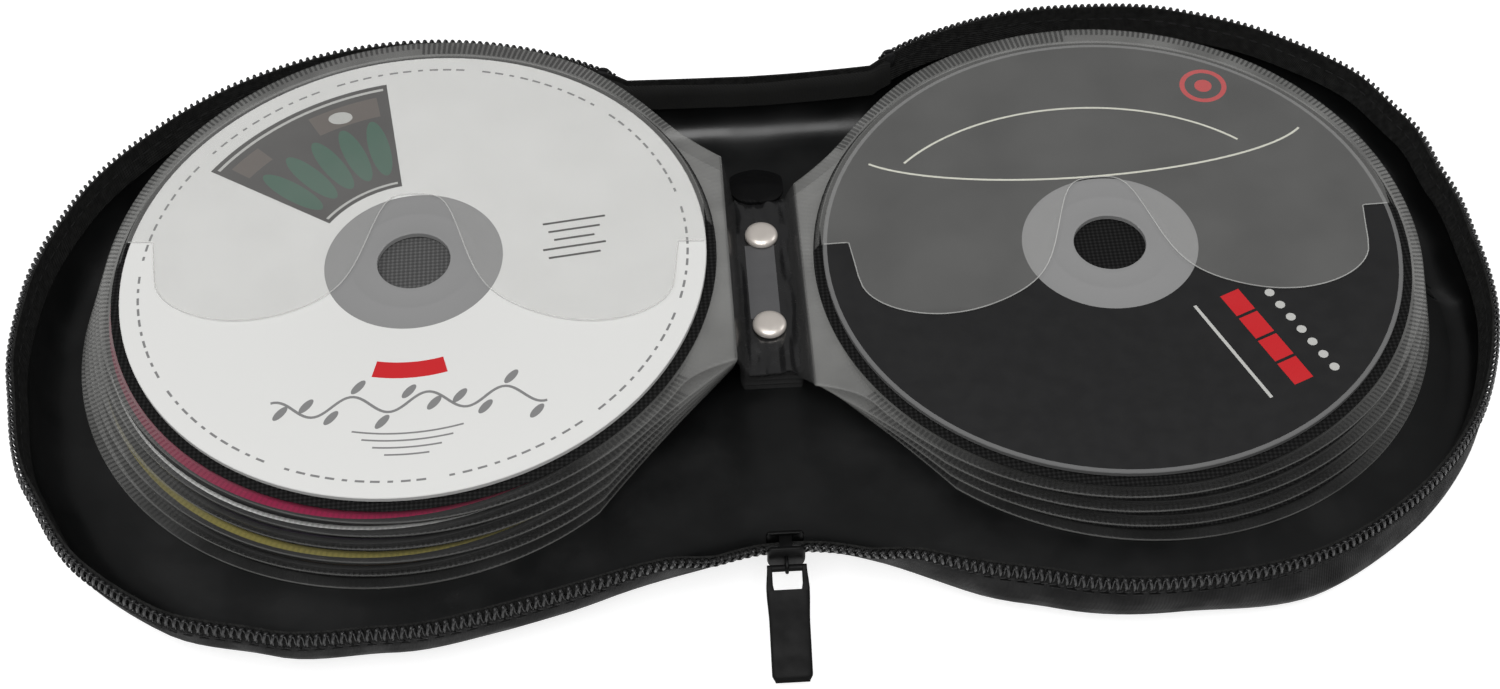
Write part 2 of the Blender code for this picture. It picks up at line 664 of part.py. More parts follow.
def build_spine():
    """Cover, board and lining of the spine, its gussets and the riveted tabs."""
    spine_tray("spine_cover", cover_profile(), "cover_fabric")
    spine_lining = spine_tray("spine_lining", lining_profile(), "lining_satin")
    drill(spine_lining, RIVET_HOLE_RADIUS, BOARD_BASE, STACK_BASE)
    width, front, back = SPINE_HALF_WIDTH, front_y(0.0, WALL_FOOT_INSET), BACK_Y - WALL_FOOT_INSET
    board = prism("spine_board", [(-width, front), (width, front), (width, back), (-width, back)],
                  BOARD_BASE, BOARD_BASE + BOARD_THICKNESS, "board")
    drill(board, RIVET_HEAD_RADIUS + RIVET_CLEARANCE, COVER_THICKNESS, LINING_BASE)
    gusset("front_gusset", -FRONT_Y)
    gusset("back_gusset", BACK_Y)
    tabs = prism("sleeve_tabs", cut_corner_plate(TAB_HALF_WIDTH, TAB_HALF_LENGTH), STACK_BASE, TAB_TOP, "clear_film")
    drill(tabs, RIVET_HOLE_RADIUS, LINING_BASE, STRIP_BASE)
    strip = prism("rivet_strip", cut_corner_plate(STRIP_HALF_WIDTH, TAB_HALF_LENGTH), STRIP_BASE, STRIP_TOP, "strip_vinyl")
    drill(strip, RIVET_HOLE_RADIUS, TAB_TOP, RIVET_HEAD_BASE)


def build_rivets():
    """Two domed rivets, each with its back washer in the spine board."""
    base, head, dome = RIVET_SHANK_BASE, RIVET_HEAD_BASE, RIVET_HEAD_HEIGHT
    profile = [(0.0, base), (RIVET_SHANK_RADIUS, base), (RIVET_SHANK_RADIUS, head), (RIVET_HEAD_RADIUS, head),
               (RIVET_HEAD_RADIUS, head + 0.45 * dome), (0.72 * RIVET_HEAD_RADIUS, head + 0.88 * dome), (0.0, head + dome)]
    for word, y in zip(("front", "back"), RIVET_YS):
        rivet = turned(f"rivet_{word}", profile, RIVET_STEPS, "nickel")
        rivet.location.y = y
        washer = prism(f"rivet_washer_{word}", circle_points(RIVET_HEAD_RADIUS, RIVET_STEPS),
                       BOARD_BASE, BOARD_BASE + WASHER_THICKNESS, "nickel")
        washer.location.y = y


def upright_plate(name, outline, near_y, far_y, finish):
    """Plate that stands across Y, over an outline of (x, z) points."""
    made = prism(name, outline, near_y, far_y, finish)
    made.data.transform(Matrix(((1, 0, 0, 0), (0, 0, 1, 0), (0, 1, 0, 0), (0, 0, 0, 1))))
    made.data.flip_normals()
    return made


def build_slider():
    """Slider body: two plates joined by a post, with the bail that holds the pull."""
    half = SLIDER_HALF_WIDTH
    nose_z = SLIDER_TOP - half
    turns = [math.pi + math.pi * step / NOSE_STEPS for step in range(NOSE_STEPS + 1)]
    shield = [(SLIDER_X + half * math.cos(turn), nose_z + half * math.sin(turn)) for turn in turns]
    shield += [(SLIDER_X + half, SLIDER_TOP), (SLIDER_X - half, SLIDER_TOP)]
    front = SLIDER_FRONT_Y
    body = upright_plate("slider_body", shield, front, front + SLIDER_PLATE, "slider_metal")
    inner_y = front + SLIDER_PLATE + SLIDER_CHANNEL
    inner = upright_plate("slider_inner_plate", shield, inner_y, inner_y + SLIDER_PLATE, "slider_metal")
    bite = SLIDER_PLATE / 2
    post_half = SLIDER_POST_HALF_WIDTH
    post_base = GUSSET_TOP + LAYER_GAP
    post_outline = [(SLIDER_X - post_half, post_base), (SLIDER_X + post_half, post_base),
                    (SLIDER_X + post_half, SLIDER_TOP - bite), (SLIDER_X - post_half, SLIDER_TOP - bite)]
    post = upright_plate("slider_post", post_outline, front + bite, inner_y + bite, "slider_metal")
    reach = PULL_THICKNESS + 2 * PULL_CLEARANCE
    low, high = PULL_AXIS_Z - BAIL_HALF_HEIGHT, PULL_AXIS_Z + BAIL_HALF_HEIGHT
    far, near = front - reach - BAIL_THICKNESS, front - reach
    step = BAIL_THICKNESS
    arch = [(front + bite, low), (near, low), (far, low + step), (far, high - step), (near, high), (front + bite, high),
            (front + bite, high - step), (near, high - step), (near, low + step), (front + bite, low + step)]
    bail = prism("slider_bail", arch, -BAIL_WIDTH / 2, BAIL_WIDTH / 2, "slider_metal")
    bail.data.transform(Matrix(((0, 0, 1, SLIDER_X), (1, 0, 0, 0), (0, 1, 0, 0), (0, 0, 0, 1))))
    for addition in (inner, post, bail):
        add_boolean(body, addition, "UNION")
    return body


def build_pull(slider):
    """Rubber pull on the slider's bail: a slotted tab whose origin is on its swing axis."""
    half, bar = PULL_HALF_WIDTH, PULL_THICKNESS / 2
    end = bar - PULL_LENGTH
    outline = [(-half, end + CORNER_CUT / 2), (-half + CORNER_CUT / 2, end), (half - CORNER_CUT / 2, end),
               (half, end + CORNER_CUT / 2), (half, bar), (-half, bar)]
    tab = prism("pull_tab", outline, -bar, bar, "pull_rubber")
    inside = half - PULL_ARM_WIDTH
    slot_end = -bar - PULL_SLOT_LENGTH
    slot = prism("pull_slot_cutter", [(-inside, slot_end), (inside, slot_end), (inside, -bar), (-inside, -bar)],
                 -2 * bar, 2 * bar, "pull_rubber")
    add_boolean(tab, slot, "DIFFERENCE")
    slot.parent = tab
    tab.location = (SLIDER_X, PULL_AXIS_Y, PULL_AXIS_Z)
    droop = math.asin((PULL_AXIS_Z - bar - PULL_END_LIFT) / (PULL_LENGTH - bar))
    tab.rotation_euler = (droop, 0.0, 0.0)
    tab.parent = slider


def hang_new(before, parent):
    """Hang every object made since a snapshot, apart from those that have a parent already."""
    place = parent.matrix_world.translation.copy()
    for item in bpy.data.objects:
        if item not in before and item.parent is None:
            hang(item, parent, place)


def main():
    """Build the right half, the spine that folds on it, and the left half that folds on the spine."""
    clear_scene()
    mouth = mouth_outline()
    build_half("right", 1)
    build_leaves("right", STACKS["right"], mouth)
    spine_axis = axis_empty("spine_fold_axis", Vector((SPINE_HALF_WIDTH, 0.0, FOLD_AXIS_Z)))
    cover_axis = axis_empty("cover_fold_axis", Vector((-SPINE_HALF_WIDTH, 0.0, FOLD_AXIS_Z)), spine_axis)
    before = set(bpy.data.objects)
    build_spine()
    build_rivets()
    build_pull(build_slider())
    hang_new(before, spine_axis)
    before = set(bpy.data.objects)
    build_half("left", -1)
    build_leaves("left", STACKS["left"], mouth)
    hang_new(before, cover_axis)


main()
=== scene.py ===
"""Looks of the round zip case for compact discs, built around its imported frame.

The case lies open: a soft tray with a zip round its rim on each side of a narrow spine, and a fanned
stack of clear sleeves riveted to the spine in each tray. Metres, +Z up, the slider at -Y.
"""
import math

import bmesh
import bpy
from mathutils import Matrix, Vector, noise


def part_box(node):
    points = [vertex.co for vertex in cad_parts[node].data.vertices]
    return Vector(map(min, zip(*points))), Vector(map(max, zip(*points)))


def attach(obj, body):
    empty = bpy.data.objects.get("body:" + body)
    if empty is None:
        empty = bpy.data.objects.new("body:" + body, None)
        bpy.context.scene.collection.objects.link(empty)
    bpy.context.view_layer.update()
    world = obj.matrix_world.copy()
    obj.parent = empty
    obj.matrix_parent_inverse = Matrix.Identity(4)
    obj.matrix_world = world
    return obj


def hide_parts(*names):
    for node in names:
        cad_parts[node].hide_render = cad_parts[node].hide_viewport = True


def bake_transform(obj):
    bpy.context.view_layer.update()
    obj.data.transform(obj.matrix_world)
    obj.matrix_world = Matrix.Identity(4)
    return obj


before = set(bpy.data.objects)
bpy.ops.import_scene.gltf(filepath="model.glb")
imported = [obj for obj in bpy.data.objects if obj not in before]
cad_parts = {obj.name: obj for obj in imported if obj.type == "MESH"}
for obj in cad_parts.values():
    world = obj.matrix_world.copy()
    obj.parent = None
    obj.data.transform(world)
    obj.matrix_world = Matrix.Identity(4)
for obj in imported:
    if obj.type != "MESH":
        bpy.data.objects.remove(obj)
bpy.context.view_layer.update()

MM = 0.001

# Plan of one half, the same values as the solids have
DISC_RADIUS = 60 * MM
SLEEVE_RADIUS = 64.5 * MM
HALF_CENTRE_X = 72.5 * MM
HALF_RADIUS = 79.5 * MM
FRONT_Y = 63.5 * MM
BACK_Y = 65 * MM
SPINE_HALF_WIDTH = 6.5 * MM
CORNER_SOFTNESS = 4 * MM
RIM_HEIGHT = 18.2 * MM
RIM_HEIGHT_AT_SLIDER = 15 * MM
RIM_DIP_NEAR_X = 13.5 * MM
RIM_DIP_FAR_X = 24 * MM
FLOOR_KEEP = 3 * MM

# Reach from the spine's middle that the outline crosses in even steps, where the real fabric bends between a
# half and the spine
BLEND_FAR_X = 15 * MM

# Steps of the outline
ZONE_STEPS = 12
FRONT_STEPS = 12
ARC_STEPS = 120
BACK_STEPS = 5
FLOOR_STEPS = 36

# Leaves
DISC_THICKNESS = 1.2 * MM
DISC_BASE = 0.75 * MM
FILM_THICKNESS = 0.15 * MM
FILM_HEIGHT = 2.16 * MM
FILM_RIM_RADIUS = 0.13 * MM
POCKET_RADIUS = DISC_RADIUS + 0.9 * MM
FILM_STEPS = 12
FILM_COLUMNS = 150
WELD_WIDTH = 2.5 * MM
RIB_PITCH = 1.15 * MM
NECK_REACH_X = 7.7 * MM
NECK_HALF_WIDTH = 25 * MM
NECK_FRONT_HALF_WIDTH = 31 * MM
NECK_LEAST_HALF_WIDTH = 10 * MM
NECK_START_ANGLE = math.radians(36)
LOW_NECK_START_ANGLE = math.radians(50)
# The pocket reaches further back than its disc
BACK_SLACK = 2.4 * MM
MOUTH_LOBE_X = 35.5 * MM
MOUTH_LOBE_Y = -16.5 * MM
MOUTH_ARCH = 25 * MM
MOUTH_ARCH_HALF_WIDTH = 10.3 * MM
MOUTH_RISE = 10 * MM
MOUTH_SIDE_X = 53 * MM
MOUTH_CORNER_Y = -5 * MM
MOUTH_END_Y = 5 * MM
# The sleeves of the left half lie turned a little in the photo
MOUTH_SLOPE = {"left": -0.095, "right": 0.0}
LEAVES = {"left": 6, "right": 4}
SIDES = {"left": -1, "right": 1}


def clamp(value, low=0.0, high=1.0):
    return min(high, max(low, value))


def smooth(value):
    """Smooth step from 0 to 1."""
    share = clamp(value)
    return share * share * (3 - 2 * share)


def spread(first, last, steps):
    """Values between two ends, without the ends."""
    return [first + (last - first) * step / steps for step in range(1, steps)]


def front_lean():
    """Angle at which the straight front run leaves the spine to meet the round."""
    across = HALF_CENTRE_X - SPINE_HALF_WIDTH
    return math.asin(HALF_RADIUS / math.hypot(across, FRONT_Y)) - math.atan2(FRONT_Y, across)


LEAN = front_lean()


def front_y(x, inset):
    """Front edge at a distance x from the middle, with its corner at the spine softened."""
    beyond = x - SPINE_HALF_WIDTH
    soft = (beyond + math.hypot(beyond, CORNER_SOFTNESS)) / 2
    return -FRONT_Y - math.tan(LEAN) * soft + inset / math.cos(LEAN)


def rim_drop(x, y):
    """How far the rim lies under its full height: it dips towards the slider."""
    if y > 0:
        return 0.0
    share = smooth((x - RIM_DIP_NEAR_X) / (RIM_DIP_FAR_X - RIM_DIP_NEAR_X))
    return (RIM_HEIGHT - RIM_HEIGHT_AT_SLIDER) * (1 - share)


def half_line(inset):
    """Even outline of the right half from the spine's middle at the front round to its middle at the back."""
    radius = HALF_RADIUS - inset
    start = -math.pi / 2 - LEAN
    end = math.pi - math.asin((BACK_Y - inset) / radius)
    zone = [BLEND_FAR_X * step / ZONE_STEPS for step in range(ZONE_STEPS + 1)]
    tangent_x = HALF_CENTRE_X + radius * math.cos(start)
    back_x = HALF_CENTRE_X + radius * math.cos(end)
    points = [(x, front_y(x, inset)) for x in zone + spread(zone[-1], tangent_x, FRONT_STEPS)]
    for step in range(ARC_STEPS + 1):
        turn = start + (end - start) * step / ARC_STEPS
        points.append((HALF_CENTRE_X + radius * math.cos(turn), radius * math.sin(turn)))
    points += [(x, BACK_Y - inset) for x in spread(back_x, zone[-1], BACK_STEPS) + zone[::-1]]
    return [Vector((x, y, 0)) for x, y in points]


# Soft fabric does not lie in a true round: how far the rim swells out (mm) at angles round each half
SWELL = {
    "left": [(-132, 0.0), (-119, -1.3), (-103, -1.4), (-88, 0.0), (-72, 3.2), (-57, 6.3), (-45, 6.5),
             (-30, 4.2), (-12, 1.2), (5, 0.2), (25, -0.6), (45, -1.9), (70, -2.5), (110, -2.8),
             (140, -3.4), (180, -3.6)],
    "right": [(-132, 0.0), (-119, 0.1), (-108, -0.9), (-85, -2.2), (-70, -1.9), (-55, -2.4), (-35, -2.6),
              (-15, -3.0), (2, -3.6), (16, -2.2), (30, 1.2), (42, 3.3), (56, 2.7), (72, 1.7), (90, 0.1),
              (115, -0.6), (140, -3.4), (180, -3.6)],
}
SWELL_FIRST, SWELL_LAST = -132, 180
STRAIGHT_BACK_X = 30 * MM


def swell(word, turn):
    """Outward swell of the rim at an angle in degrees, smooth between the given ones."""
    table = SWELL[word]
    for (first, low), (last, high) in zip(table, table[1:]):
        if turn <= last:
            return (low + (high - low) * smooth((turn - first) / (last - first))) * MM
    return table[-1][1] * MM


OUTLINE_DEPTH = 9 * MM
OUTLINES = {}


def outline(word):
    """Rim of a half, as points at the edge and the way inward from each."""
    if word not in OUTLINES:
        rim = []
        for edge, deep in zip(half_line(0.0), half_line(OUTLINE_DEPTH)):
            inward = (deep - edge) / OUTLINE_DEPTH
            turn = math.degrees(math.atan2(edge.y, edge.x - HALF_CENTRE_X))
            if edge.y < 0 and (turn < SWELL_FIRST or turn > 90):
                turn = SWELL_FIRST
            if edge.y > 0 and turn < 0:
                turn = SWELL_LAST
            out = swell(word, turn)
            straight = edge.y > 0 and edge.x < STRAIGHT_BACK_X
            rim.append((edge + Vector((0, out, 0)) if straight else edge - inward * out, inward))
        OUTLINES[word] = rim
    return OUTLINES[word]


SLIDER_NEAR_X = 10 * MM
SLIDER_FADE = 34 * MM
LEAN_AT_SLIDER = 0.5


def near_slider(x, y):
    """Share that falls from 1 beside the slider to 0 further out along the front."""
    return 1 - smooth((x - SLIDER_NEAR_X) / SLIDER_FADE) if y < 0 else 0.0


def slider_lean(x, y):
    """Inward lean of tape and teeth beside the slider, for each length below the rim."""
    return LEAN_AT_SLIDER * near_slider(x, y)


def lowered(x, y, z):
    """Height of a point of the wall, lowered with the rim near the slider."""
    share = clamp((z - FLOOR_KEEP) / (RIM_HEIGHT - FLOOR_KEEP))
    return z - rim_drop(x, y) * share


def circle(count):
    """Angles once round in even steps."""
    return [2 * math.pi * step / count for step in range(count)]


def cross_pair(along, up=Vector((0, 0, 1))):
    """Two directions square to a line: across it and up from it."""
    across = along.cross(up)
    if across.length < 0.1:
        across = along.cross(Vector((1, 0, 0)))
    across.normalize()
    return across, across.cross(along)


class Shape:
    """Mesh in the making: points, faces and a finish number for each face."""

    def __init__(self):
        self.points = []
        self.faces = []
        self.finishes = []

    def grid(self, rows, wrap=False, finish=0, tones=None):
        """Quads between rows of points; wrap closes each row, tones give each column its finish."""
        base = len(self.points)
        count = len(rows[0])
        for row in rows:
            self.points.extend(Vector(point) for point in row)
        for number in range(len(rows) - 1):
            for index in range(count if wrap else count - 1):
                beside = (index + 1) % count
                low, high = base + number * count, base + (number + 1) * count
                self.faces.append((low + index, low + beside, high + beside, high + index))
                self.finishes.append(tones[index] if tones else finish)

    def face(self, ring, finish=0):
        """One flat face over a ring of points."""
        base = len(self.points)
        self.points.extend(Vector(point) for point in ring)
        self.faces.append(tuple(range(base, base + len(ring))))
        self.finishes.append(finish)

    def slab(self, upper, lower):
        """Closed sheet between two grids of points with the same rows and columns."""
        self.grid(upper)
        self.grid(lower)
        for number in (0, -1):
            self.grid([upper[number], lower[number]])
        for number in (0, -1):
            self.grid([[row[number] for row in upper], [row[number] for row in lower]])

    def sheet(self, rows, thickness):
        """Closed sheet under a grid of points."""
        self.slab(rows, [[point - Vector((0, 0, thickness)) for point in row] for row in rows])

    def closed(self, rings, finish=0):
        """Skin over a stack of rings, with a flat face at each end."""
        self.grid(rings, True, finish)
        self.face(rings[0], finish)
        self.face(rings[-1], finish)

    def tube(self, path, radius, sides=6, finish=0, up=Vector((0, 0, 1))):
        """Round tube along a path, with flat ends."""
        rings = []
        for index, point in enumerate(path):
            before = path[max(0, index - 1)]
            after = path[min(len(path) - 1, index + 1)]
            across, lift = cross_pair((after - before).normalized(), up)
            rings.append([point + across * radius * math.cos(t) + lift * radius * math.sin(t)
                          for t in circle(sides)])
        self.closed(rings, finish)

    def pill(self, centre, along, length, radius):
        """Small stitch: a stubby round grain of thread along a direction."""
        along = along.normalized()
        across, lift = cross_pair(along)
        rings = []
        for share, size in ((-0.5, 0.15), (-0.36, 0.8), (0.0, 1.0), (0.36, 0.8), (0.5, 0.15)):
            middle = centre + along * length * share
            rings.append([middle + (across * math.cos(t) + lift * math.sin(t)) * radius * size
                          for t in circle(6)])
        self.closed(rings)

    def build(self, name, finishes, matrix=None, side=1, angle=40, upward=False):
        """Object with merged points, faces pointing out (or up) and smooth shading under an angle."""
        mesh = bpy.data.meshes.new(name)
        mesh.from_pydata([(side * p.x, p.y, p.z) for p in self.points], [], self.faces)
        mesh.polygons.foreach_set("material_index", self.finishes)
        if matrix:
            mesh.transform(matrix)
        work = bmesh.new()
        work.from_mesh(mesh)
        bmesh.ops.remove_doubles(work, verts=work.verts, dist=1e-7)
        bmesh.ops.recalc_face_normals(work, faces=work.faces)
        work.normal_update()
        if upward and sum(face.normal.z * face.calc_area() for face in work.faces) < 0:
            bmesh.ops.reverse_faces(work, faces=work.faces)
        work.to_mesh(mesh)
        work.free()
        mesh.shade_smooth()
        mesh.set_sharp_from_angle(angle=math.radians(angle))
        made = bpy.data.objects.new(name, mesh)
        bpy.context.scene.collection.objects.link(made)
        for finish in finishes:
            mesh.materials.append(finish)
        return made


def thicken(item, thickness, outward):
    """Give an open sheet its thickness, as mesh and not as a modifier."""
    change = item.modifiers.new("thickness", "SOLIDIFY")
    change.thickness = thickness
    change.offset = outward
    shape = item.evaluated_get(bpy.context.evaluated_depsgraph_get())
    mesh = bpy.data.meshes.new_from_object(shape)
    item.modifiers.clear()
    item.data = mesh
    mesh.set_sharp_from_angle(angle=math.radians(50))


# Materials


class Finish:
    """Principled material with helpers for its colour, roughness and bump nodes."""

    def __init__(self, name, colour, roughness, metallic=0.0, specular=0.5):
        self.made = bpy.data.materials.new(name)
        self.made.use_nodes = True
        self.nodes = self.made.node_tree.nodes
        self.shader = self.nodes["Principled BSDF"]
        self.set("Base Color", (*colour, 1.0))
        self.set("Roughness", roughness)
        self.set("Metallic", metallic)
        self.set("Specular IOR Level", specular)
        self.place = self.nodes.new("ShaderNodeTexCoord").outputs["Object"]
        self.height = None

    def set(self, socket, value):
        self.shader.inputs[socket].default_value = value

    def link(self, source, target):
        self.made.node_tree.links.new(source, target)

    def math(self, operation, first, second=0.0):
        """Math node of two sockets or numbers."""
        node = self.nodes.new("ShaderNodeMath")
        node.operation = operation
        for socket, value in zip(node.inputs, (first, second)):
            if isinstance(value, (int, float)):
                socket.default_value = value
            else:
                self.link(value, socket)
        return node.outputs[0]

    def noise(self, scale, detail=3.0, stretch=None):
        """Noise in object space; scale in waves per metre."""
        node = self.nodes.new("ShaderNodeTexNoise")
        node.inputs["Scale"].default_value = scale
        node.inputs["Detail"].default_value = detail
        source = self.place
        if stretch:
            mapping = self.nodes.new("ShaderNodeMapping")
            mapping.inputs["Scale"].default_value = stretch
            self.link(source, mapping.inputs["Vector"])
            source = mapping.outputs["Vector"]
        self.link(source, node.inputs["Vector"])
        return node.outputs["Fac"]

    def ranged(self, source, low, high, new_low, new_high):
        """Map a source from one range to another, clamped."""
        node = self.nodes.new("ShaderNodeMapRange")
        self.link(source, node.inputs["Value"])
        sockets = ("From Min", "From Max", "To Min", "To Max")
        for socket, value in zip(sockets, (low, high, new_low, new_high)):
            node.inputs[socket].default_value = value
        return node.outputs["Result"]

    def bump(self, source, distance, strength=1.0):
        """Add a bump, on top of those added before."""
        node = self.nodes.new("ShaderNodeBump")
        node.inputs["Strength"].default_value = strength
        node.inputs["Distance"].default_value = distance
        self.link(source, node.inputs["Height"])
        if self.height:
            self.link(self.height, node.inputs["Normal"])
        self.height = node.outputs["Normal"]
        self.link(self.height, self.shader.inputs["Normal"])

    def vary_colour(self, source, dark, light, low=0.35, high=0.65):
        """Colour that varies between two with a source."""
        node = self.nodes.new("ShaderNodeMix")
        node.data_type = "RGBA"
        self.link(self.ranged(source, low, high, 0.0, 1.0), node.inputs["Factor"])
        node.inputs[6].default_value = (*dark, 1.0)
        node.inputs[7].default_value = (*light, 1.0)
        self.link(node.outputs[2], self.shader.inputs["Base Color"])

    def vary_roughness(self, source, low, high):
        self.link(self.ranged(source, 0.35, 0.65, low, high), self.shader.inputs["Roughness"])

    def axes(self):
        """X, Y and Z of the place."""
        parts = self.nodes.new("ShaderNodeSeparateXYZ")
        self.link(self.place, parts.inputs[0])
        return parts.outputs

    def crossed_waves(self, first, second, turn):
        """Product of two sine waves."""
        waves = [self.math("SINE", self.math("MULTIPLY", line, turn)) for line in (first, second)]
        return self.math("MULTIPLY", *waves)

    def weave(self, pitch, depth):
        """Plain weave: two crossed waves over X, Y and Z, with the pitch of one thread."""
        x, y, z = self.axes()
        across = self.math("ADD", x, z)
        along = self.math("SUBTRACT", y, z)
        self.bump(self.crossed_waves(across, along, 2 * math.pi / pitch), depth)


def surface(name, colour, roughness, specular=0.5, metallic=0.0,
            weave=None, bumps=(), tones=None, gloss=None):
    """Finish with a weave, bumps of (noise scale, depth, strength, detail), tones and a varying gloss."""
    finish = Finish(name, colour, roughness, metallic, specular)
    if weave:
        finish.weave(weave[0] * MM, weave[1] * MM)
    for scale, depth, strength, detail in bumps:
        finish.bump(finish.noise(scale, detail), depth * MM, strength)
    if tones:
        finish.vary_colour(finish.noise(tones[0]), tones[1], tones[2])
    if gloss:
        finish.vary_roughness(finish.noise(gloss[0]), gloss[1], gloss[2])
    return finish.made


def clear_film(name, colour, alpha, roughness, ripple, edge_share=0.3):
    """Clear vinyl: a thin grey haze with a soft gloss, stronger at a grazing angle."""
    finish = Finish(name, colour, roughness, specular=0.35)
    finish.bump(finish.noise(ripple, 1.0), 0.25 * MM, 0.3)
    weight = finish.nodes.new("ShaderNodeLayerWeight")
    weight.inputs["Blend"].default_value = 0.35
    haze = finish.ranged(finish.noise(55, 2.0), 0.3, 0.7, 0.8 * alpha, 1.2 * alpha)
    edge = finish.math("MULTIPLY", weight.outputs["Fresnel"], edge_share)
    finish.link(finish.math("ADD", haze, edge), finish.shader.inputs["Alpha"])
    return finish.made


def weld_film(name, colour, low, high):
    """Ribbed weld film with a painted reflection: its alpha is raised at the sides and the back, and it is
    clear at the front.
    """
    finish = Finish(name, colour, 0.3, specular=0.5)
    # Painted reflection: the haze rises with Y, from nearly clear at the front to strong at the back
    haze = finish.ranged(finish.axes()[1], -48 * MM, -8 * MM, low, high)
    grain = finish.ranged(finish.noise(90, 2.0), 0.3, 0.7, 0.75, 1.25)
    finish.link(finish.math("MULTIPLY", haze, grain), finish.shader.inputs["Alpha"])
    finish.bump(finish.noise(260, 2.0), 0.2 * MM, 0.5)
    return finish.made


def divider_cloth(name, dark, light):
    """Non-woven sheet with a fine embossed grid."""
    finish = Finish(name, (light, light, light), 0.85, specular=0.15)
    x, y, _ = finish.axes()
    slopes = [finish.math(operation, x, y) for operation in ("ADD", "SUBTRACT")]
    dots = finish.crossed_waves(*slopes, 2 * math.pi / (1.3 * MM) / math.sqrt(2))
    finish.bump(dots, 0.12 * MM)
    finish.vary_colour(dots, (dark, dark, dark), (light, light, light), -0.4, 0.8)
    return finish.made


def polycarbonate(name, grey, alpha):
    made = surface(name, (grey, grey, grey), 0.12, bumps=[(300, 0.01, 1.0, 3.0)])
    made.node_tree.nodes["Principled BSDF"].inputs["Alpha"].default_value = alpha
    return made


def printed(name, colour, roughness=0.35):
    """Screen-printed ink: satin, with a very fine tooth."""
    gloss = (250, roughness - 0.04, roughness + 0.06)
    return surface(name, colour, roughness, 0.35, bumps=[(5000, 0.01, 0.4, 3.0)], gloss=gloss)


def strip_vinyl(name, colour, roughness, crease):
    finish = Finish(name, colour, roughness, specular=0.5 + crease)
    finish.bump(finish.noise(150, 3.0, (1.0, 0.3, 1.0)), crease * MM, 0.9)
    finish.vary_roughness(finish.noise(400), roughness - 0.05, roughness + 0.1)
    return finish.made


FINISHES = {
    "cover": surface("cover_fabric", (0.0028, 0.0028, 0.003), 0.65, 0.1, weave=(0.7, 0.03),
                     bumps=[(60, 0.15, 0.6, 3.0)], gloss=(140, 0.5, 0.7)),
    # The back wall is the cover's fabric made about four times lighter: painted light on the back wall
    "back_wall": surface("back_wall_lit_fabric", (0.011, 0.011, 0.0105), 0.7, 0.2, weave=(0.7, 0.03),
                         bumps=[(50, 0.25, 0.6, 3.0)], gloss=(140, 0.6, 0.78)),
    "lining": surface("lining_satin", (0.002, 0.0022, 0.0023), 0.3, 0.55,
                      bumps=[(38, 1.1, 0.55, 2.0), (1600, 0.03, 0.35, 2.0)], gloss=(90, 0.32, 0.42)),
    "tape": surface("zip_tape", (0.008, 0.008, 0.0078), 0.8, 0.2, weave=(0.9, 0.07),
                    tones=(700, (0.005, 0.005, 0.0048), (0.013, 0.013, 0.0125))),
    "thread": surface("thread", (0.007, 0.007, 0.007), 0.6, 0.3, bumps=[(4000, 0.03, 1.0, 3.0)]),
    "coil": surface("coil_nylon", (0.009, 0.009, 0.0095), 0.3, gloss=(500, 0.25, 0.45)),
    "film": clear_film("clear_film", (0.52, 0.52, 0.505), 0.06, 0.3, 45, 0.08),
    # The weld's alpha rises towards the back: painted reflection
    "weld": weld_film("film_weld", (0.34, 0.34, 0.33), 0.02, 0.3),
    # Darker, denser copy of the weld film for one flank of each rib: painted shade
    "weld_rib_shade": weld_film("film_weld_rib", (0.07, 0.07, 0.07), 0.16, 0.34),
    "film_rim": clear_film("film_rim", (0.8, 0.8, 0.78), 0.28, 0.3, 160, 0.1),
    "film_edge": clear_film("film_edge", (0.3, 0.3, 0.29), 0.3, 0.3, 160, 0.3),
    "neck": clear_film("film_neck", (0.07, 0.07, 0.07), 0.2, 0.25, 90, 0.2),
    "divider": divider_cloth("divider", 0.003, 0.016),
    # Lighter copy of the divider for the middle of the left leaves: painted light in the hub hole
    "divider_lit_middle": divider_cloth("divider_lit_middle", 0.06, 0.12),
    "strip": strip_vinyl("strip_vinyl", (0.012, 0.012, 0.0125), 0.2, 0.5),
    "strip_flat": strip_vinyl("strip_flat", (0.085, 0.085, 0.088), 0.55, 0.15),
    "nickel": surface("nickel", (0.82, 0.76, 0.7), 0.36, metallic=0.5,
                      bumps=[(900, 0.01, 1.0, 3.0)], gloss=(700, 0.32, 0.4)),
    "slider": surface("slider_metal", (0.002, 0.002, 0.0021), 0.5, 0.14,
                      bumps=[(1500, 0.02, 0.6, 3.0)], gloss=(500, 0.32, 0.46)),
    "rubber": surface("pull_rubber", (0.0035, 0.0035, 0.0036), 0.5, 0.14,
                      bumps=[(3500, 0.02, 0.5, 3.0)], gloss=(300, 0.48, 0.62)),
    "board": surface("board", (0.05, 0.05, 0.05), 0.85, bumps=[(1200, 0.05, 1.0, 3.0)],
                     tones=(300, (0.04, 0.04, 0.04), (0.06, 0.06, 0.06))),
    "hub": polycarbonate("disc_hub", 0.34, 0.72),
    "disc_edge": polycarbonate("disc_edge", 0.17, 0.9),
    # Darker copy of the disc edge for the lower discs: painted shade under the stack
    "shaded_low_edge": polycarbonate("disc_low_edge", 0.03, 0.9),
    "mirror": surface("disc_mirror", (0.75, 0.76, 0.78), 0.18, metallic=0.9, gloss=(120, 0.12, 0.25)),
    "black": printed("disc_black", (0.012, 0.012, 0.0125), 0.5),
}
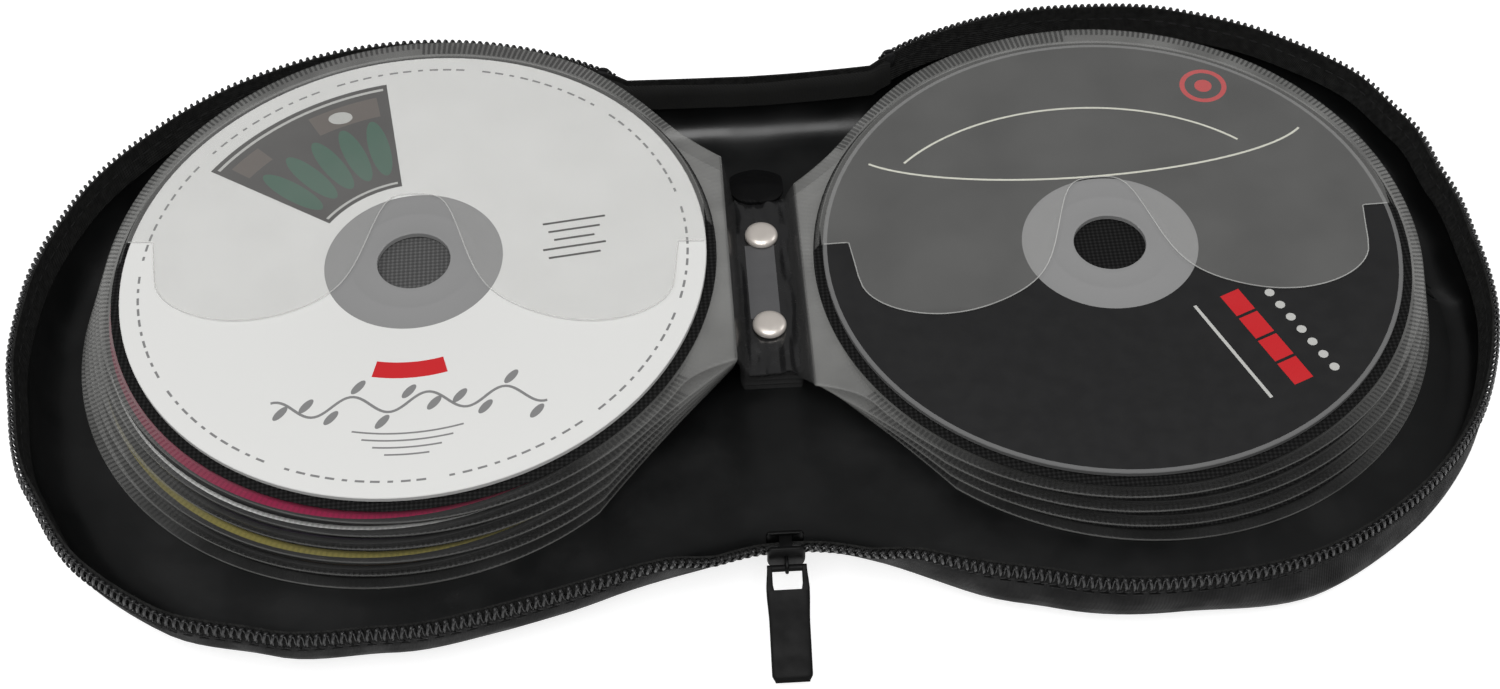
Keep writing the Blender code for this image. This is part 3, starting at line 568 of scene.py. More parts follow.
LABEL_COLOURS = {
    "white": (0.72, 0.72, 0.705), "magenta": (0.27, 0.004, 0.05), "olive": (0.22, 0.19, 0.05),
    "violet": (0.04, 0.03, 0.05), "brown": (0.16, 0.10, 0.05), "silver": (0.5, 0.5, 0.52),
    "blue": (0.03, 0.07, 0.20),
}
INKS = {
    "ink_grey": (0.22, 0.22, 0.22), "ink_dark": (0.03, 0.027, 0.027), "ink_brown": (0.09, 0.07, 0.06),
    "ink_green": (0.012, 0.085, 0.05), "ink_red": (0.55, 0.02, 0.025), "ink_cream": (0.72, 0.72, 0.62),
    "ink_light": (0.5, 0.5, 0.48),
}
FINISHES.update({name: printed(f"disc_{name}", colour) for name, colour in LABEL_COLOURS.items()})
FINISHES.update({name: printed(name, colour) for name, colour in INKS.items()})

DISC_COLOURS = {
    "left": ["brown", "olive", "violet", "white", "magenta", "white"],
    "right": ["silver", "blue", "white", "black"],
}


def stand_for(item, slot, *replaced):
    """Hide the solids of the frame that a piece stands for; the piece and its slot are not used."""
    if replaced:
        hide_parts(*replaced)


def join_half(item, word, slot, *replaced):
    """Bake a piece's place into its mesh and hide the solids it stands for; its half and its slot are not
    used.
    """
    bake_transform(item)
    stand_for(item, slot, *replaced)


def ride(item, body, slot, *replaced):
    """Let a piece move with a body."""
    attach(item, body)
    stand_for(item, slot, *replaced)


# Fabric of the halves

# Insets of the outer wall (mm) at falling heights: beside the slider, leaning, and upright
WALL_HEIGHTS = (14.6, 13.4, 12.0, 9.5, 7.0, 4.8, 2.8, 1.1, 0.2, 0.0)
WALL_SLIDER = (1.9, 2.1, 2.6, 3.6, 4.7, 5.8, 7.1, 8.6, 10.2, 12.4)
WALL_LEANING = (0.55, 0.45, 0.5, 1.0, 2.1, 3.6, 5.3, 7.4, 9.6, 12.0)
WALL_UPRIGHT = (0.5, 0.2, 0.0, -0.4, -0.8, -0.9, -0.3, 1.4, 4.2, 7.8)
LINING_WALL = (11.6, 9.8, 8.0, 6.4, 5.0, 4.0, 3.3, 2.8, 2.6)
LINING_FOOT = (0.0, 0.0, 0.0, 0.2, 0.5, 1.0, 1.7, 2.9, 4.6)
LINING_GAP = 1.25
COVER_THICKNESS = 0.7 * MM
LINING_THICKNESS = 0.35 * MM
WRINKLE_HEIGHT = 1.3 * MM


def wall_inset(word, point, height):
    """Inset of the outer wall in millimetres at a height in millimetres."""
    turn = math.degrees(math.atan2(point.y, point.x - HALF_CENTRE_X))
    if word == "left":
        upright = 0.0 if point.y < 0 else 0.2
    else:
        upright = 1 - smooth((-turn - 68) / 22) * 0.5 if point.y < 0 else 0.6
    if point.y > 0:
        upright = 0.4 + (upright - 0.4) * smooth((point.x - 15 * MM) / (25 * MM))
    for index in range(len(WALL_HEIGHTS) - 1):
        high, low = WALL_HEIGHTS[index], WALL_HEIGHTS[index + 1]
        if height >= low or index == len(WALL_HEIGHTS) - 2:
            share = clamp((high - height) / (high - low))
            values = [row[index] + (row[index + 1] - row[index]) * share
                      for row in (WALL_SLIDER, WALL_LEANING, WALL_UPRIGHT)]
            break
    side = values[1] + (values[2] - values[1]) * upright
    return side + (values[0] - side) * near_slider(point.x, point.y)


def tray_sheet(word, heights, gaps, lift):
    """Open sheet of one half: its wall along the outline, and its floor from front to back."""
    shape = Shape()
    rings = []
    for height, gap in zip(heights, gaps):
        ring = []
        for edge, inward in outline(word):
            point = edge + inward * (wall_inset(word, edge, height) + gap) * MM
            point.z = lowered(point.x, point.y, height * MM)
            point.z += lift(point.x, point.y, point.z)
            ring.append(point)
        rings.append(ring)
    shape.grid(rings)
    foot = rings[-1]
    rows = []
    for index in range(len(foot) // 2):
        near, far = foot[index], foot[-1 - index]
        row = []
        for step in range(FLOOR_STEPS + 1):
            point = near.lerp(far, step / FLOOR_STEPS)
            if 0 < step < FLOOR_STEPS:
                point.z = heights[-1] * MM + lift(point.x, point.y, heights[-1] * MM)
            row.append(point)
        rows.append(row)
    shape.grid(rows)
    return shape


def no_lift(x, y, z):
    return 0.0


def lining_lift(x, y, z):
    """Soft folds of the satin, strongest in front of the rivets, where nothing lies on it."""
    middle = math.exp(-((x / (30 * MM)) ** 2))
    front = smooth((-y - 20 * MM) / (14 * MM)) * smooth((y + 63 * MM) / (7 * MM))
    ridge = math.exp(-((x / (6 * MM)) ** 2)) * 1.3 * smooth((-y - 26 * MM) / (18 * MM))
    aside = smooth(x / (7 * MM))
    fan = math.sin(9 * math.atan2(x + 3 * MM, -(y + 6 * MM))) * 0.6 * aside
    grain = noise.noise(Vector((x * 60, y * 60, 3.1))) * aside
    rise = max(0.0, (ridge + fan + grain + 0.6) * 0.5) * middle * front
    back = smooth((y - 42 * MM) / (12 * MM)) * smooth((60 * MM - y) / (6 * MM))
    back *= math.exp(-((x / (22 * MM)) ** 2))
    rise += max(0.0, 0.6 + noise.noise(Vector((x * 40, y * 75, 7.7))) * aside) * 0.5 * back
    wall = smooth((z - 3 * MM) / (4 * MM)) * smooth((11 * MM - z) / (3 * MM)) * aside
    turn = math.atan2(y, x - HALF_CENTRE_X)
    ripple = noise.noise(Vector((turn * 7, 0.0, 1.3))) * 0.35 * wall
    return rise * WRINKLE_HEIGHT + ripple * MM


def build_fabric(word):
    """Cover and lining of one half, each up to the middle of the spine."""
    side = SIDES[word]
    sheet = tray_sheet(word, WALL_HEIGHTS, [0.0] * len(WALL_HEIGHTS), no_lift)
    cover = sheet.build(f"{word}_cover_shell", [FINISHES["cover"]], side=side, upward=True)
    thicken(cover, COVER_THICKNESS, 1.0)
    join_half(cover, word, "cover_fabric", f"cover_{word}", "spine_cover")
    gaps = [LINING_GAP + foot for foot in LINING_FOOT]
    sheet = tray_sheet(word, LINING_WALL, gaps, lining_lift)
    lining = sheet.build(f"{word}_satin_lining", [FINISHES["lining"]], side=side, upward=True)
    thicken(lining, LINING_THICKNESS, -1.0)
    join_half(lining, word, "lining_satin", f"lining_{word}", "spine_lining")


# Zip

COIL_PITCH = 1.55 * MM
COIL_STEPS = 12
COIL_HALF_HEIGHT = 1.5 * MM
COIL_HALF_DEPTH = 0.5 * MM
COIL_WIRE_RADIUS = 0.36 * MM
COIL_INSET = 0.15
COIL_STITCH_INSET = -0.6
COIL_STITCH_DEPTH = 3.1
ZIP_END_X = 30.5 * MM
SLIDER_X = -1.3 * MM
SLIDER_HALF_WIDTH = 3.6 * MM


class Line:
    """Outline measured by its length, from the slider's edge on."""

    def __init__(self, word, inset, start_x):
        points = [edge + inward * inset * MM for edge, inward in outline(word)]
        self.points = [point for point in points if point.x > start_x or point.y > 0]
        self.points.insert(0, Vector((start_x, front_y(start_x, inset * MM), 0)))
        self.marks = [0.0]
        for before, after in zip(self.points, self.points[1:]):
            self.marks.append(self.marks[-1] + (after - before).length)
        self.at = 0

    def place(self, distance):
        """Point, direction and outward direction at a distance; distances come in rising order."""
        while self.at < len(self.marks) - 2 and self.marks[self.at + 1] < distance:
            self.at += 1
        while self.at > 0 and self.marks[self.at] > distance:
            self.at -= 1
        first, last = self.points[self.at], self.points[self.at + 1]
        share = (distance - self.marks[self.at]) / (self.marks[self.at + 1] - self.marks[self.at])
        along = (last - first).normalized()
        return first.lerp(last, share), along, Vector((along.y, -along.x, 0))

    def zip_length(self):
        """Length to the end of the teeth, where the straight back begins."""
        for point, mark in zip(self.points, self.marks):
            if point.y > 0 and point.x < ZIP_END_X:
                return mark
        return self.marks[-1]


def zip_start(word):
    """Distance of the slider's edge from the middle on one side."""
    return SLIDER_HALF_WIDTH + SIDES[word] * SLIDER_X - 0.6 * MM


def sew(shape, line, count, pitch, depth, rise, length, radius):
    """Row of stitches along a line, at a depth (mm) under the rim; rise turns them up."""
    for step in range(count):
        point, along, out = line.place((step + 0.5) * pitch)
        point -= out * depth * MM * slider_lean(point.x, point.y)
        point.z = RIM_HEIGHT - depth * MM - rim_drop(point.x, point.y)
        shape.pill(point, along + Vector((0, 0, rise)), length, radius)


def build_coil(word):
    """Row of teeth: one nylon coil along the rim, and the stitches that hold it."""
    line = Line(word, COIL_INSET, zip_start(word))
    turns = int(line.zip_length() / COIL_PITCH)
    path = []
    for step in range(turns * COIL_STEPS + 1):
        distance = step / COIL_STEPS * COIL_PITCH
        point, _, out = line.place(distance)
        angle = 2 * math.pi * step / COIL_STEPS
        top = RIM_HEIGHT - COIL_WIRE_RADIUS - COIL_HALF_HEIGHT - rim_drop(point.x, point.y)
        below = COIL_HALF_HEIGHT * (1 - math.cos(angle)) * slider_lean(point.x, point.y)
        point = point + out * (COIL_HALF_DEPTH * math.sin(angle) - below)
        point.z = top + COIL_HALF_HEIGHT * math.cos(angle)
        path.append(point)
    shape = Shape()
    shape.tube(path, COIL_WIRE_RADIUS)
    coil = shape.build(f"{word}_zip_coil", [FINISHES["coil"]], side=SIDES[word], angle=70)
    join_half(coil, word, "zip_teeth", f"zip_teeth_{word}")
    stitches = Shape()
    line = Line(word, COIL_STITCH_INSET, zip_start(word))
    sew(stitches, line, turns, COIL_PITCH, COIL_STITCH_DEPTH, 0.3, 1.25 * MM, 0.24 * MM)
    made = stitches.build(f"{word}_coil_stitches", [FINISHES["thread"]], side=SIDES[word])
    join_half(made, word, "zip_tape")


def band_rows(word, profile):
    """Rows of points along the rim for a band with (inset, depth under the rim) points."""
    rows = []
    for inset, depth in profile:
        row = []
        for edge, inward in outline(word):
            point = edge + inward * (inset + depth * slider_lean(edge.x, edge.y)) * MM
            point.z = RIM_HEIGHT - depth * MM - rim_drop(edge.x, edge.y)
            row.append(point)
        rows.append(row)
    return rows


# Inset and depth under the rim (mm) of the tape's sheets and of its rows of stitches
TAPE_OUTER = [(0.7, 0.35), (0.55, 2.6), (0.35, 3.5), (0.2, 3.9), (0.5, 4.4)]
TAPE_INNER = [(1.15, 0.35), (1.35, 2.6), (1.65, 4.4), (2.1, 6.0), (2.3, 7.2)]
TAPE_STITCHES = [(1.45, 3.4), (0.2, 5.2)]
STITCH_PITCH = 3.1 * MM


def build_tape(word):
    """Woven tape under the coil, turned in over the lining, with its row of stitches."""
    side = SIDES[word]
    shape = Shape()
    outer = band_rows(word, TAPE_OUTER)
    inner = band_rows(word, TAPE_INNER)
    shape.slab(inner, outer)
    made = shape.build(f"{word}_zip_tape", [FINISHES["tape"]], side=side)
    join_half(made, word, "zip_tape", f"zip_tape_{word}", "front_gusset")
    stitches = Shape()
    for inset, depth in TAPE_STITCHES:
        line = Line(word, inset, zip_start(word))
        count = int(line.zip_length() / STITCH_PITCH)
        sew(stitches, line, count, STITCH_PITCH, depth, 0.0, 2.1 * MM, 0.2 * MM)
    made = stitches.build(f"{word}_tape_stitches", [FINISHES["thread"]], side=side)
    join_half(made, word, "zip_tape")


BACK_WALL_X = 32 * MM
# Height (mm) and size of the blocks that end the teeth
ZIP_END_PROFILE = [(14.6, 0.7), (15.0, 1.0), (17.8, 1.0), (18.2, 0.7)]
# Inset and height (mm) of the wall's sheets
BACK_WALL_OUTSIDE = [(0.75, 14.2), (0.1, 14.7), (-0.1, 15.4), (0.0, 16.2), (0.5, 16.8)]
BACK_WALL_INSIDE = [(2.7, 10.6), (2.45, 12.2), (2.2, 14.0), (1.9, 15.7), (1.3, 16.7)]


def build_back_wall(word):
    """Plain double fabric wall across the back, with a folded hem, up to the middle of the spine."""
    side = SIDES[word]
    sheets = []
    for profile in (BACK_WALL_OUTSIDE, BACK_WALL_INSIDE):
        lanes = []
        for inset, height in profile:
            lane = []
            for edge, inward in outline(word):
                if edge.y < 0 or edge.x > BACK_WALL_X:
                    continue
                aside = smooth(edge.x / (6 * MM))
                swing = noise.noise(Vector((edge.x * 70, height * 0.15, 2.0))) * 0.4 * aside
                sag = 0.6 * math.exp(-((edge.x / (16 * MM)) ** 2)) * smooth((height - 12) / 4)
                point = edge + inward * (inset + max(0.0, swing)) * MM
                point.z = (height - sag) * MM
                lane.append(point)
            lanes.append(lane)
        sheets.append(lanes)
    shape = Shape()
    shape.slab(sheets[0], sheets[1])
    # Its finish is a lighter copy of the cover fabric: painted light
    made = shape.build(f"{word}_back_wall", [FINISHES["back_wall"]], side=side)
    join_half(made, word, "cover_fabric", f"back_wall_{word}", "back_gusset")
    build_zip_end(word)


def build_zip_end(word):
    """Two small blocks that end the row of teeth at the back."""
    stops = Shape()
    behind = [pair for pair in outline(word) if pair[0].y > 0]
    edge, inward = min(behind, key=lambda pair: abs(pair[0].x - ZIP_END_X))
    along = Vector((inward.y, -inward.x, 0))
    for inset in (0.0, 1.2):
        rings = []
        for z, size in ZIP_END_PROFILE:
            middle = edge + inward * inset * MM + Vector((0, 0, z * MM))
            rings.append([middle + (along * 1.3 * math.cos(t) + inward * 0.5 * math.sin(t)) * size * MM
                          for t in circle(12)])
        stops.closed(rings)
    made = stops.build(f"{word}_zip_end", [FINISHES["coil"]], side=SIDES[word])
    ride(made, f"{word}_half", "zip_teeth", f"zip_stop_{word}")


# Leaves


def leaf_matrix(word, number):
    """Place of one leaf, read from its disc in the frame: its base centre and its tilt."""
    low, high = (Vector(corner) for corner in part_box(f"disc_{word}_{number}"))
    tilt = math.asin(clamp((high.z - low.z - DISC_THICKNESS) / (2 * DISC_RADIUS)))
    turn = Matrix.Rotation(-tilt, 4, "Y")
    drop = Matrix.Translation((0, 0, -DISC_BASE - DISC_THICKNESS / 2))
    return Matrix.Translation((low + high) / 2) @ turn @ drop


def mouth_y(word, x):
    """Edge of the front film at a place across: two lobes beside an arch, and notches at the sides."""
    reach = abs(x)
    lean = MOUTH_SLOPE[word] * x
    if reach < MOUTH_LOBE_X:
        arch = MOUTH_ARCH / (1 + (reach / MOUTH_ARCH_HALF_WIDTH) ** 5)
        swing = 0.5 + 0.5 * math.cos(math.pi * reach / MOUTH_LOBE_X)
        return MOUTH_LOBE_Y + MOUTH_RISE * swing + arch + lean
    if reach < MOUTH_SIDE_X:
        outer = (reach - MOUTH_LOBE_X) / (MOUTH_SIDE_X - MOUTH_LOBE_X)
        return MOUTH_LOBE_Y + (MOUTH_CORNER_Y - MOUTH_LOBE_Y) * (1 - math.sqrt(1 - outer * outer)) + lean
    rise = smooth((reach - MOUTH_SIDE_X) / (1.4 * MM))
    return MOUTH_CORNER_Y + (MOUTH_END_Y - MOUTH_CORNER_Y) * rise + lean


def film_columns():
    """Places across the leaf, closer together at its sides."""
    return [-DISC_RADIUS * math.cos(math.pi * step / FILM_COLUMNS) for step in range(FILM_COLUMNS + 1)]


def front_film(shape, word):
    """Front film over the back part of the disc, with soft waves, and its shoulder to the weld."""
    rows = []
    for x in film_columns():
        first = mouth_y(word, x)
        last = math.sqrt(POCKET_RADIUS ** 2 - x ** 2)
        row = []
        for step in range(FILM_STEPS + 1):
            y = first + (last - first) * step / FILM_STEPS
            wave = (noise.noise(Vector((x * 26, y * 26, 5.0))) + 0.6) * 0.16 * MM
            row.append(Vector((x, y, FILM_HEIGHT + max(0.0, wave) * smooth((FILM_STEPS - step) / 4))))
        rows.append(row)
    shape.sheet(rows, FILM_THICKNESS)
    edge = [row[0] for row in rows if abs(row[0].x) < DISC_RADIUS - 0.4 * MM]
    shape.tube(edge, FILM_RIM_RADIUS, 5, finish=1)


def neck_radius(turn, reach, front, leave_angle):
    """Distance from the disc's centre to the sleeve's edge: round, with a neck towards the spine."""
    turn = math.atan2(math.sin(turn), math.cos(turn))
    width = NECK_HALF_WIDTH if turn > 0 else front
    leave_angle = NECK_START_ANGLE if turn > 0 else leave_angle
    corner = math.atan2(width, reach)
    if abs(turn) >= leave_angle:
        slack = BACK_SLACK * max(0.0, math.sin(turn)) ** 2
        return SLEEVE_RADIUS + slack * smooth((turn - leave_angle) / 0.4)
    if abs(turn) <= corner:
        return reach / math.cos(turn)
    leave = Vector((math.cos(leave_angle), math.sin(leave_angle))) * SLEEVE_RADIUS
    arrive = Vector((reach, width))
    run = arrive - leave
    ray = Vector((math.cos(turn), math.sin(abs(turn))))
    straight = (leave.x * run.y - leave.y * run.x) / (ray.x * run.y - ray.y * run.x)
    share = (abs(turn) - corner) / (leave_angle - corner)
    hollow = 1.6 * MM if leave_angle < 0.7 and turn < 0 else 0.6 * MM
    return straight - hollow * 4 * share * (1 - share)


# How far back a leaf's neck is drawn for each length that it lies lower, to stay out of sight
HIDING_SLOPE = 0.83


def ribs(turn):
    """Height of the knurl on the weld at an angle; it fades in and out round the leaf."""
    wave = math.cos(turn * round(2 * math.pi * SLEEVE_RADIUS / RIB_PITCH))
    strength = 0.55 + 0.45 * math.sin(3 * turn + 0.7) * math.cos(2 * turn - 0.4)
    return wave * 0.15 * MM * strength


def front_half_width(word, number):
    """Front half width of a leaf's neck; the lower ones are drawn back under the top one."""
    top = leaf_matrix(word, LEAVES[word]).translation
    place = leaf_matrix(word, number).translation
    drawn_back = (top.z - place.z) * HIDING_SLOPE + top.y - place.y
    return max(NECK_FRONT_HALF_WIDTH - drawn_back, NECK_LEAST_HALF_WIDTH)


# Weld from its edge inward (mm): inset, height and share of the ribs
WELD_LANES = [(0.0, 0.1, 0.0), (0.12, 0.32, 0.2), (0.5, 0.36, 1.0), (1.4, 0.38, 1.0), (2.0, 0.36, 0.7),
              (2.5, 0.4, 0.0)]


def weld_band(shape, side, reach, front, leave_angle):
    """Ribbed weld round the leaf, with a bright outer edge, the shoulder of the pocket and painted shade on
    one flank of each rib.
    """
    turns = circle(4 * round(2 * math.pi * SLEEVE_RADIUS / RIB_PITCH))
    upper, lower = [], []
    for inset, height, share in WELD_LANES:
        row = []
        for turn in turns:
            radius = neck_radius(turn, reach, front, leave_angle)
            extra = radius - SLEEVE_RADIUS if math.cos(turn) > 0 else 0.0
            widening = 1 if extra < 0.2 * MM else 1 + extra / WELD_WIDTH
            here = radius - inset * MM * widening
            if inset * MM >= WELD_WIDTH - 1e-9:
                here = SLEEVE_RADIUS - WELD_WIDTH
            top = height * MM + ribs(turn) * share
            row.append(Vector((-side * here * math.cos(turn), here * math.sin(turn), top)))
        upper.append(row)
        lower.append([Vector((spot.x, spot.y, 0.0)) for spot in row])
    # Every other pair of columns away from the neck, one flank of each rib, takes the darker weld copy:
    # painted shade
    tones = []
    for index, turn in enumerate(turns):
        away = abs(math.atan2(math.sin(turn), math.cos(turn)))
        tones.append(2 if index // 2 % 2 and away > NECK_START_ANGLE * 0.9 else 0)
    shape.grid(upper[:2], True, finish=1)
    shape.grid(upper[1:-1], True, tones=tones)
    shape.grid(upper[-2:], True)
    shape.grid([upper[0], lower[0]], True, finish=1)
    shape.grid(lower, True)
    shape.grid([upper[-1], lower[-1]], True)


# Radius and height (mm) from the weld up to the front film, and of the divider from its middle out
SHOULDER_PROFILE = [(61.9, 0.42), (61.6, 0.9), (61.3, 1.6), (61.05, 2.02), (60.9, 2.16)]
DIVIDER_PROFILE = [(9.0, 0.52), (62.0, 0.52), (62.0, 0.4)]


def shoulder_band(shape):
    """Film that rises from the weld to the front film, over the back part of the disc only."""
    steps = 90
    first = math.asin(MOUTH_END_Y / DISC_RADIUS)
    upper, lower = [], []
    for step in range(steps + 1):
        turn = first + (math.pi - 2 * first) * step / steps
        row = []
        for radius, height in SHOULDER_PROFILE:
            row.append(Vector((radius * MM * math.cos(turn), radius * MM * math.sin(turn), height * MM)))
        upper.append(row)
        lower.append([Vector((p.x * 0.997, p.y * 0.997, p.z - 0.1 * MM)) for p in row])
    shape.slab(upper, lower)


def ring_points(radius, height, steps=120):
    """Ring of points at a radius and a height in millimetres."""
    turns = circle(steps)
    return [Vector((radius * MM * math.cos(t), radius * MM * math.sin(t), height * MM)) for t in turns]


def build_sleeve(word, number):
    """Clear sleeve of one leaf: front film, shoulder, ribbed weld and its back film."""
    matrix = leaf_matrix(word, number)
    body = f"{word}_half"
    shape = Shape()
    front_film(shape, word)
    shoulder_band(shape)
    finishes = [FINISHES["film"], FINISHES["film_rim"]]
    film = shape.build(f"{word}_{number}_pocket_film", finishes, matrix=matrix)
    ride(film, body, "clear_film")
    shape = Shape()
    reach = abs(matrix.translation.x) - NECK_REACH_X
    leave_angle = NECK_START_ANGLE if number == LEAVES[word] else LOW_NECK_START_ANGLE
    weld_band(shape, SIDES[word], reach, front_half_width(word, number), leave_angle)
    finishes = [FINISHES["weld"], FINISHES["film_edge"], FINISHES["weld_rib_shade"]]
    weld = shape.build(f"{word}_{number}_sleeve_weld", finishes, matrix=matrix, angle=80)
    ride(weld, body, "clear_film", f"sleeve_{word}_{number}")
    sheet = Shape()
    rings = [ring_points(radius, height, 96) for radius, height in DIVIDER_PROFILE]
    sheet.face(rings[0], 1)
    sheet.grid(rings, True)
    sheet.face(rings[2])
    # On the left the middle face takes the lighter divider copy: painted light in the hub hole
    finishes = [FINISHES["divider"], FINISHES["divider_lit_middle" if word == "left" else "divider"]]
    divider = sheet.build(f"{word}_{number}_divider_sheet", finishes, matrix=matrix)
    ride(divider, body, "divider", f"divider_{word}_{number}")


# How far (mm) some lower discs have slid out of their pockets' mouths, so that slivers of them show
DISC_SLIDES = {("left", 1): (-0.4, -1.2), ("left", 2): (-1.0, -2.4), ("left", 3): (-0.8, -1.2),
               ("left", 4): (-1.8, -1.9), ("left", 5): (-1.9, -2.4)}
DISC_PROFILE = [
    (7.5, 0.1, "hub"), (7.6, 0.0, "hub"), (16.6, 0.0, "hub"), (17.0, -0.14, "hub"),
    (17.6, -0.14, "hub"), (18.0, 0.0, "hub"),
    (22.0, 0.0, "mirror"), (59.2, 0.0, "mirror"), (59.85, 0.0, "disc_edge"), (60.0, 0.15, "disc_edge"),
    (60.0, 1.05, "disc_edge"), (59.85, 1.2, "disc_edge"), (59.1, 1.2, "label"), (18.3, 1.2, "hub"),
    (17.9, 1.13, "hub"), (13.4, 1.13, "hub"), (13.1, 1.2, "hub"), (12.6, 1.2, "hub"), (12.3, 1.13, "hub"),
    (8.6, 1.13, "hub"), (8.3, 1.2, "hub"), (7.6, 1.2, "hub"), (7.5, 1.1, "hub"),
]


def build_disc(word, number):
    """Disc with its clear hub, moulded rings, mirror side and printed label side."""
    slid_x, slid_y = DISC_SLIDES.get((word, number), (0, 0))
    matrix = leaf_matrix(word, number) @ Matrix.Translation((slid_x * MM, slid_y * MM, DISC_BASE))
    colour = DISC_COLOURS[word][number - 1]
    order = ["hub", "mirror", "disc_edge", "label"]
    shape = Shape()
    rings = [(ring_points(radius, height), label) for radius, height, label in DISC_PROFILE]
    for (ring, label), (after, _) in zip(rings, rings[1:] + rings[:1]):
        shape.grid([ring, after], True, order.index(label))
    # Lower discs take the darker edge copy: painted shade under the leaves above
    edge = "shaded_low_edge" if number < LEAVES[word] else "white" if colour == "white" else "disc_edge"
    finishes = [FINISHES["hub"], FINISHES["mirror"], FINISHES[edge], FINISHES[colour]]
    disc = shape.build(f"{word}_{number}_disc", finishes, matrix=matrix, angle=30)
    ride(disc, f"{word}_half", f"disc_{colour}", f"disc_{word}_{number}")
    return matrix


INK_HEIGHT = 0.03 * MM


def ink(shape, outline, level=0):
    """Thin printed field over an outline of (x, y) points in millimetres, on top of the label."""
    base = DISC_THICKNESS + (0.002 + 0.012 * level) * MM
    low = [Vector((x * MM, y * MM, base - 0.02 * MM)) for x, y in outline]
    high = [Vector((x * MM, y * MM, base + INK_HEIGHT / 3)) for x, y in outline]
    shape.face(high)
    shape.grid([low, high], True)


def arc_field(inner, outer, first, last, steps=40):
    """Outline of a stretch of ring between two angles in degrees."""
    turns = [math.radians(first + (last - first) * step / steps) for step in range(steps + 1)]
    edge = [(outer * math.cos(t), outer * math.sin(t)) for t in turns]
    return edge + [(inner * math.cos(t), inner * math.sin(t)) for t in reversed(turns)]


def blob_field(x, y, radius, steps=28, squeeze=1.0, turn=0.0):
    """Outline of a round or oval field."""
    points = []
    for t in circle(steps):
        across, along = radius * math.cos(t), radius * squeeze * math.sin(t)
        points.append((x + across * math.cos(turn) - along * math.sin(turn),
                       y + across * math.sin(turn) + along * math.cos(turn)))
    return points


def bar_field(x, y, length, width, turn=0.0):
    """Outline of a bar about its centre."""
    corners = ((-length, -width), (length, -width), (length, width), (-length, width))
    c, s = math.cos(turn), math.sin(turn)
    return [(x + (a * c - b * s) / 2, y + (a * s + b * c) / 2) for a, b in corners]


def line_field(path, width):
    """Outline of a thin line along a path of (x, y) points."""
    left, right = [], []
    for index, (x, y) in enumerate(path):
        before = path[max(0, index - 1)]
        after = path[min(len(path) - 1, index + 1)]
        dx, dy = after[0] - before[0], after[1] - before[1]
        size = math.hypot(dx, dy) or 1.0
        nx, ny = -dy / size * width / 2, dx / size * width / 2
        left.append((x + nx, y + ny))
        right.append((x - nx, y - ny))
    return left + right[::-1]


def print_piece(name, word, matrix, finish, fields):
    """One colour of print on a disc, from a list of (outline, level) fields."""
    shape = Shape()
    for outline, level in fields:
        ink(shape, outline, level)
    made = shape.build(name, [FINISHES[finish]], matrix=matrix)
    ride(made, f"{word}_half", f"disc_{DISC_COLOURS[word][-1]}")


def vine_y(x):
    """Wavy line under the middle of the white label, in millimetres."""
    return -37 + 2.2 * math.sin(x * 0.42)


def print_left(matrix):
    """Generic label of the white disc: a dark band of leaves, a red bar, grey dashes and rings."""
    dashes = []
    for step in range(120):
        half = 0.55 if step % 7 in (2, 5) else 0.95
        if step % 11 != 4:
            dashes.append((arc_field(55.9, 56.4, 3 * step - half, 3 * step + half, 3), 0))
    print_piece("left_disc_dashes", "left", matrix, "ink_grey", dashes)
    print_piece("left_disc_panel", "left", matrix, "ink_dark", [(arc_field(21.5, 53, 98, 146), 0)])
    leaves = []
    for turn in (104, 113, 122, 131, 140):
        rad = math.radians(turn)
        leaves.append((blob_field(34 * math.cos(rad), 34 * math.sin(rad), 8.5, squeeze=0.26, turn=rad), 1))
    print_piece("left_disc_leaves", "left", matrix, "ink_green", leaves)
    print_piece("left_disc_frame", "left", matrix, "ink_light", [
        (arc_field(51.2, 51.9, 99, 145), 1), (arc_field(22.4, 23.0, 100, 144), 1),
        (blob_field(-17, 43, 2.6, squeeze=0.7), 2)])
    print_piece("left_disc_glow", "left", matrix, "ink_brown", [
        (arc_field(43.5, 49.5, 101, 119), 1), (arc_field(44.5, 49.5, 134, 143), 1)])
    print_piece("left_disc_red", "left", matrix, "ink_red", [(arc_field(27, 31, -104, -76), 0)])
    xs = [-27 + 54 * step / 80 for step in range(81)]
    scrolls = [(line_field([(x, vine_y(x)) for x in xs], 0.6), 0)]
    for index in range(11):
        x = -25 + 5 * index
        lift = 2.6 if index % 2 else -2.6
        scrolls.append((blob_field(x, vine_y(x) + lift, 2.0, squeeze=0.42, turn=0.9), 0))
    for index in range(4):
        inner = 44.5 + 1.7 * index
        scrolls.append((arc_field(inner, inner + 0.4, -104 + 3 * index, -76 - 3 * index), 0))
    print_piece("left_disc_vine", "left", matrix, "ink_grey", scrolls)
    print_piece("left_disc_bars", "left", matrix, "ink_dark", [
        (bar_field(33, 8 - 2.4 * index, 13 - 2.3 * (index % 3), 0.55, 0.1), 0) for index in range(5)])


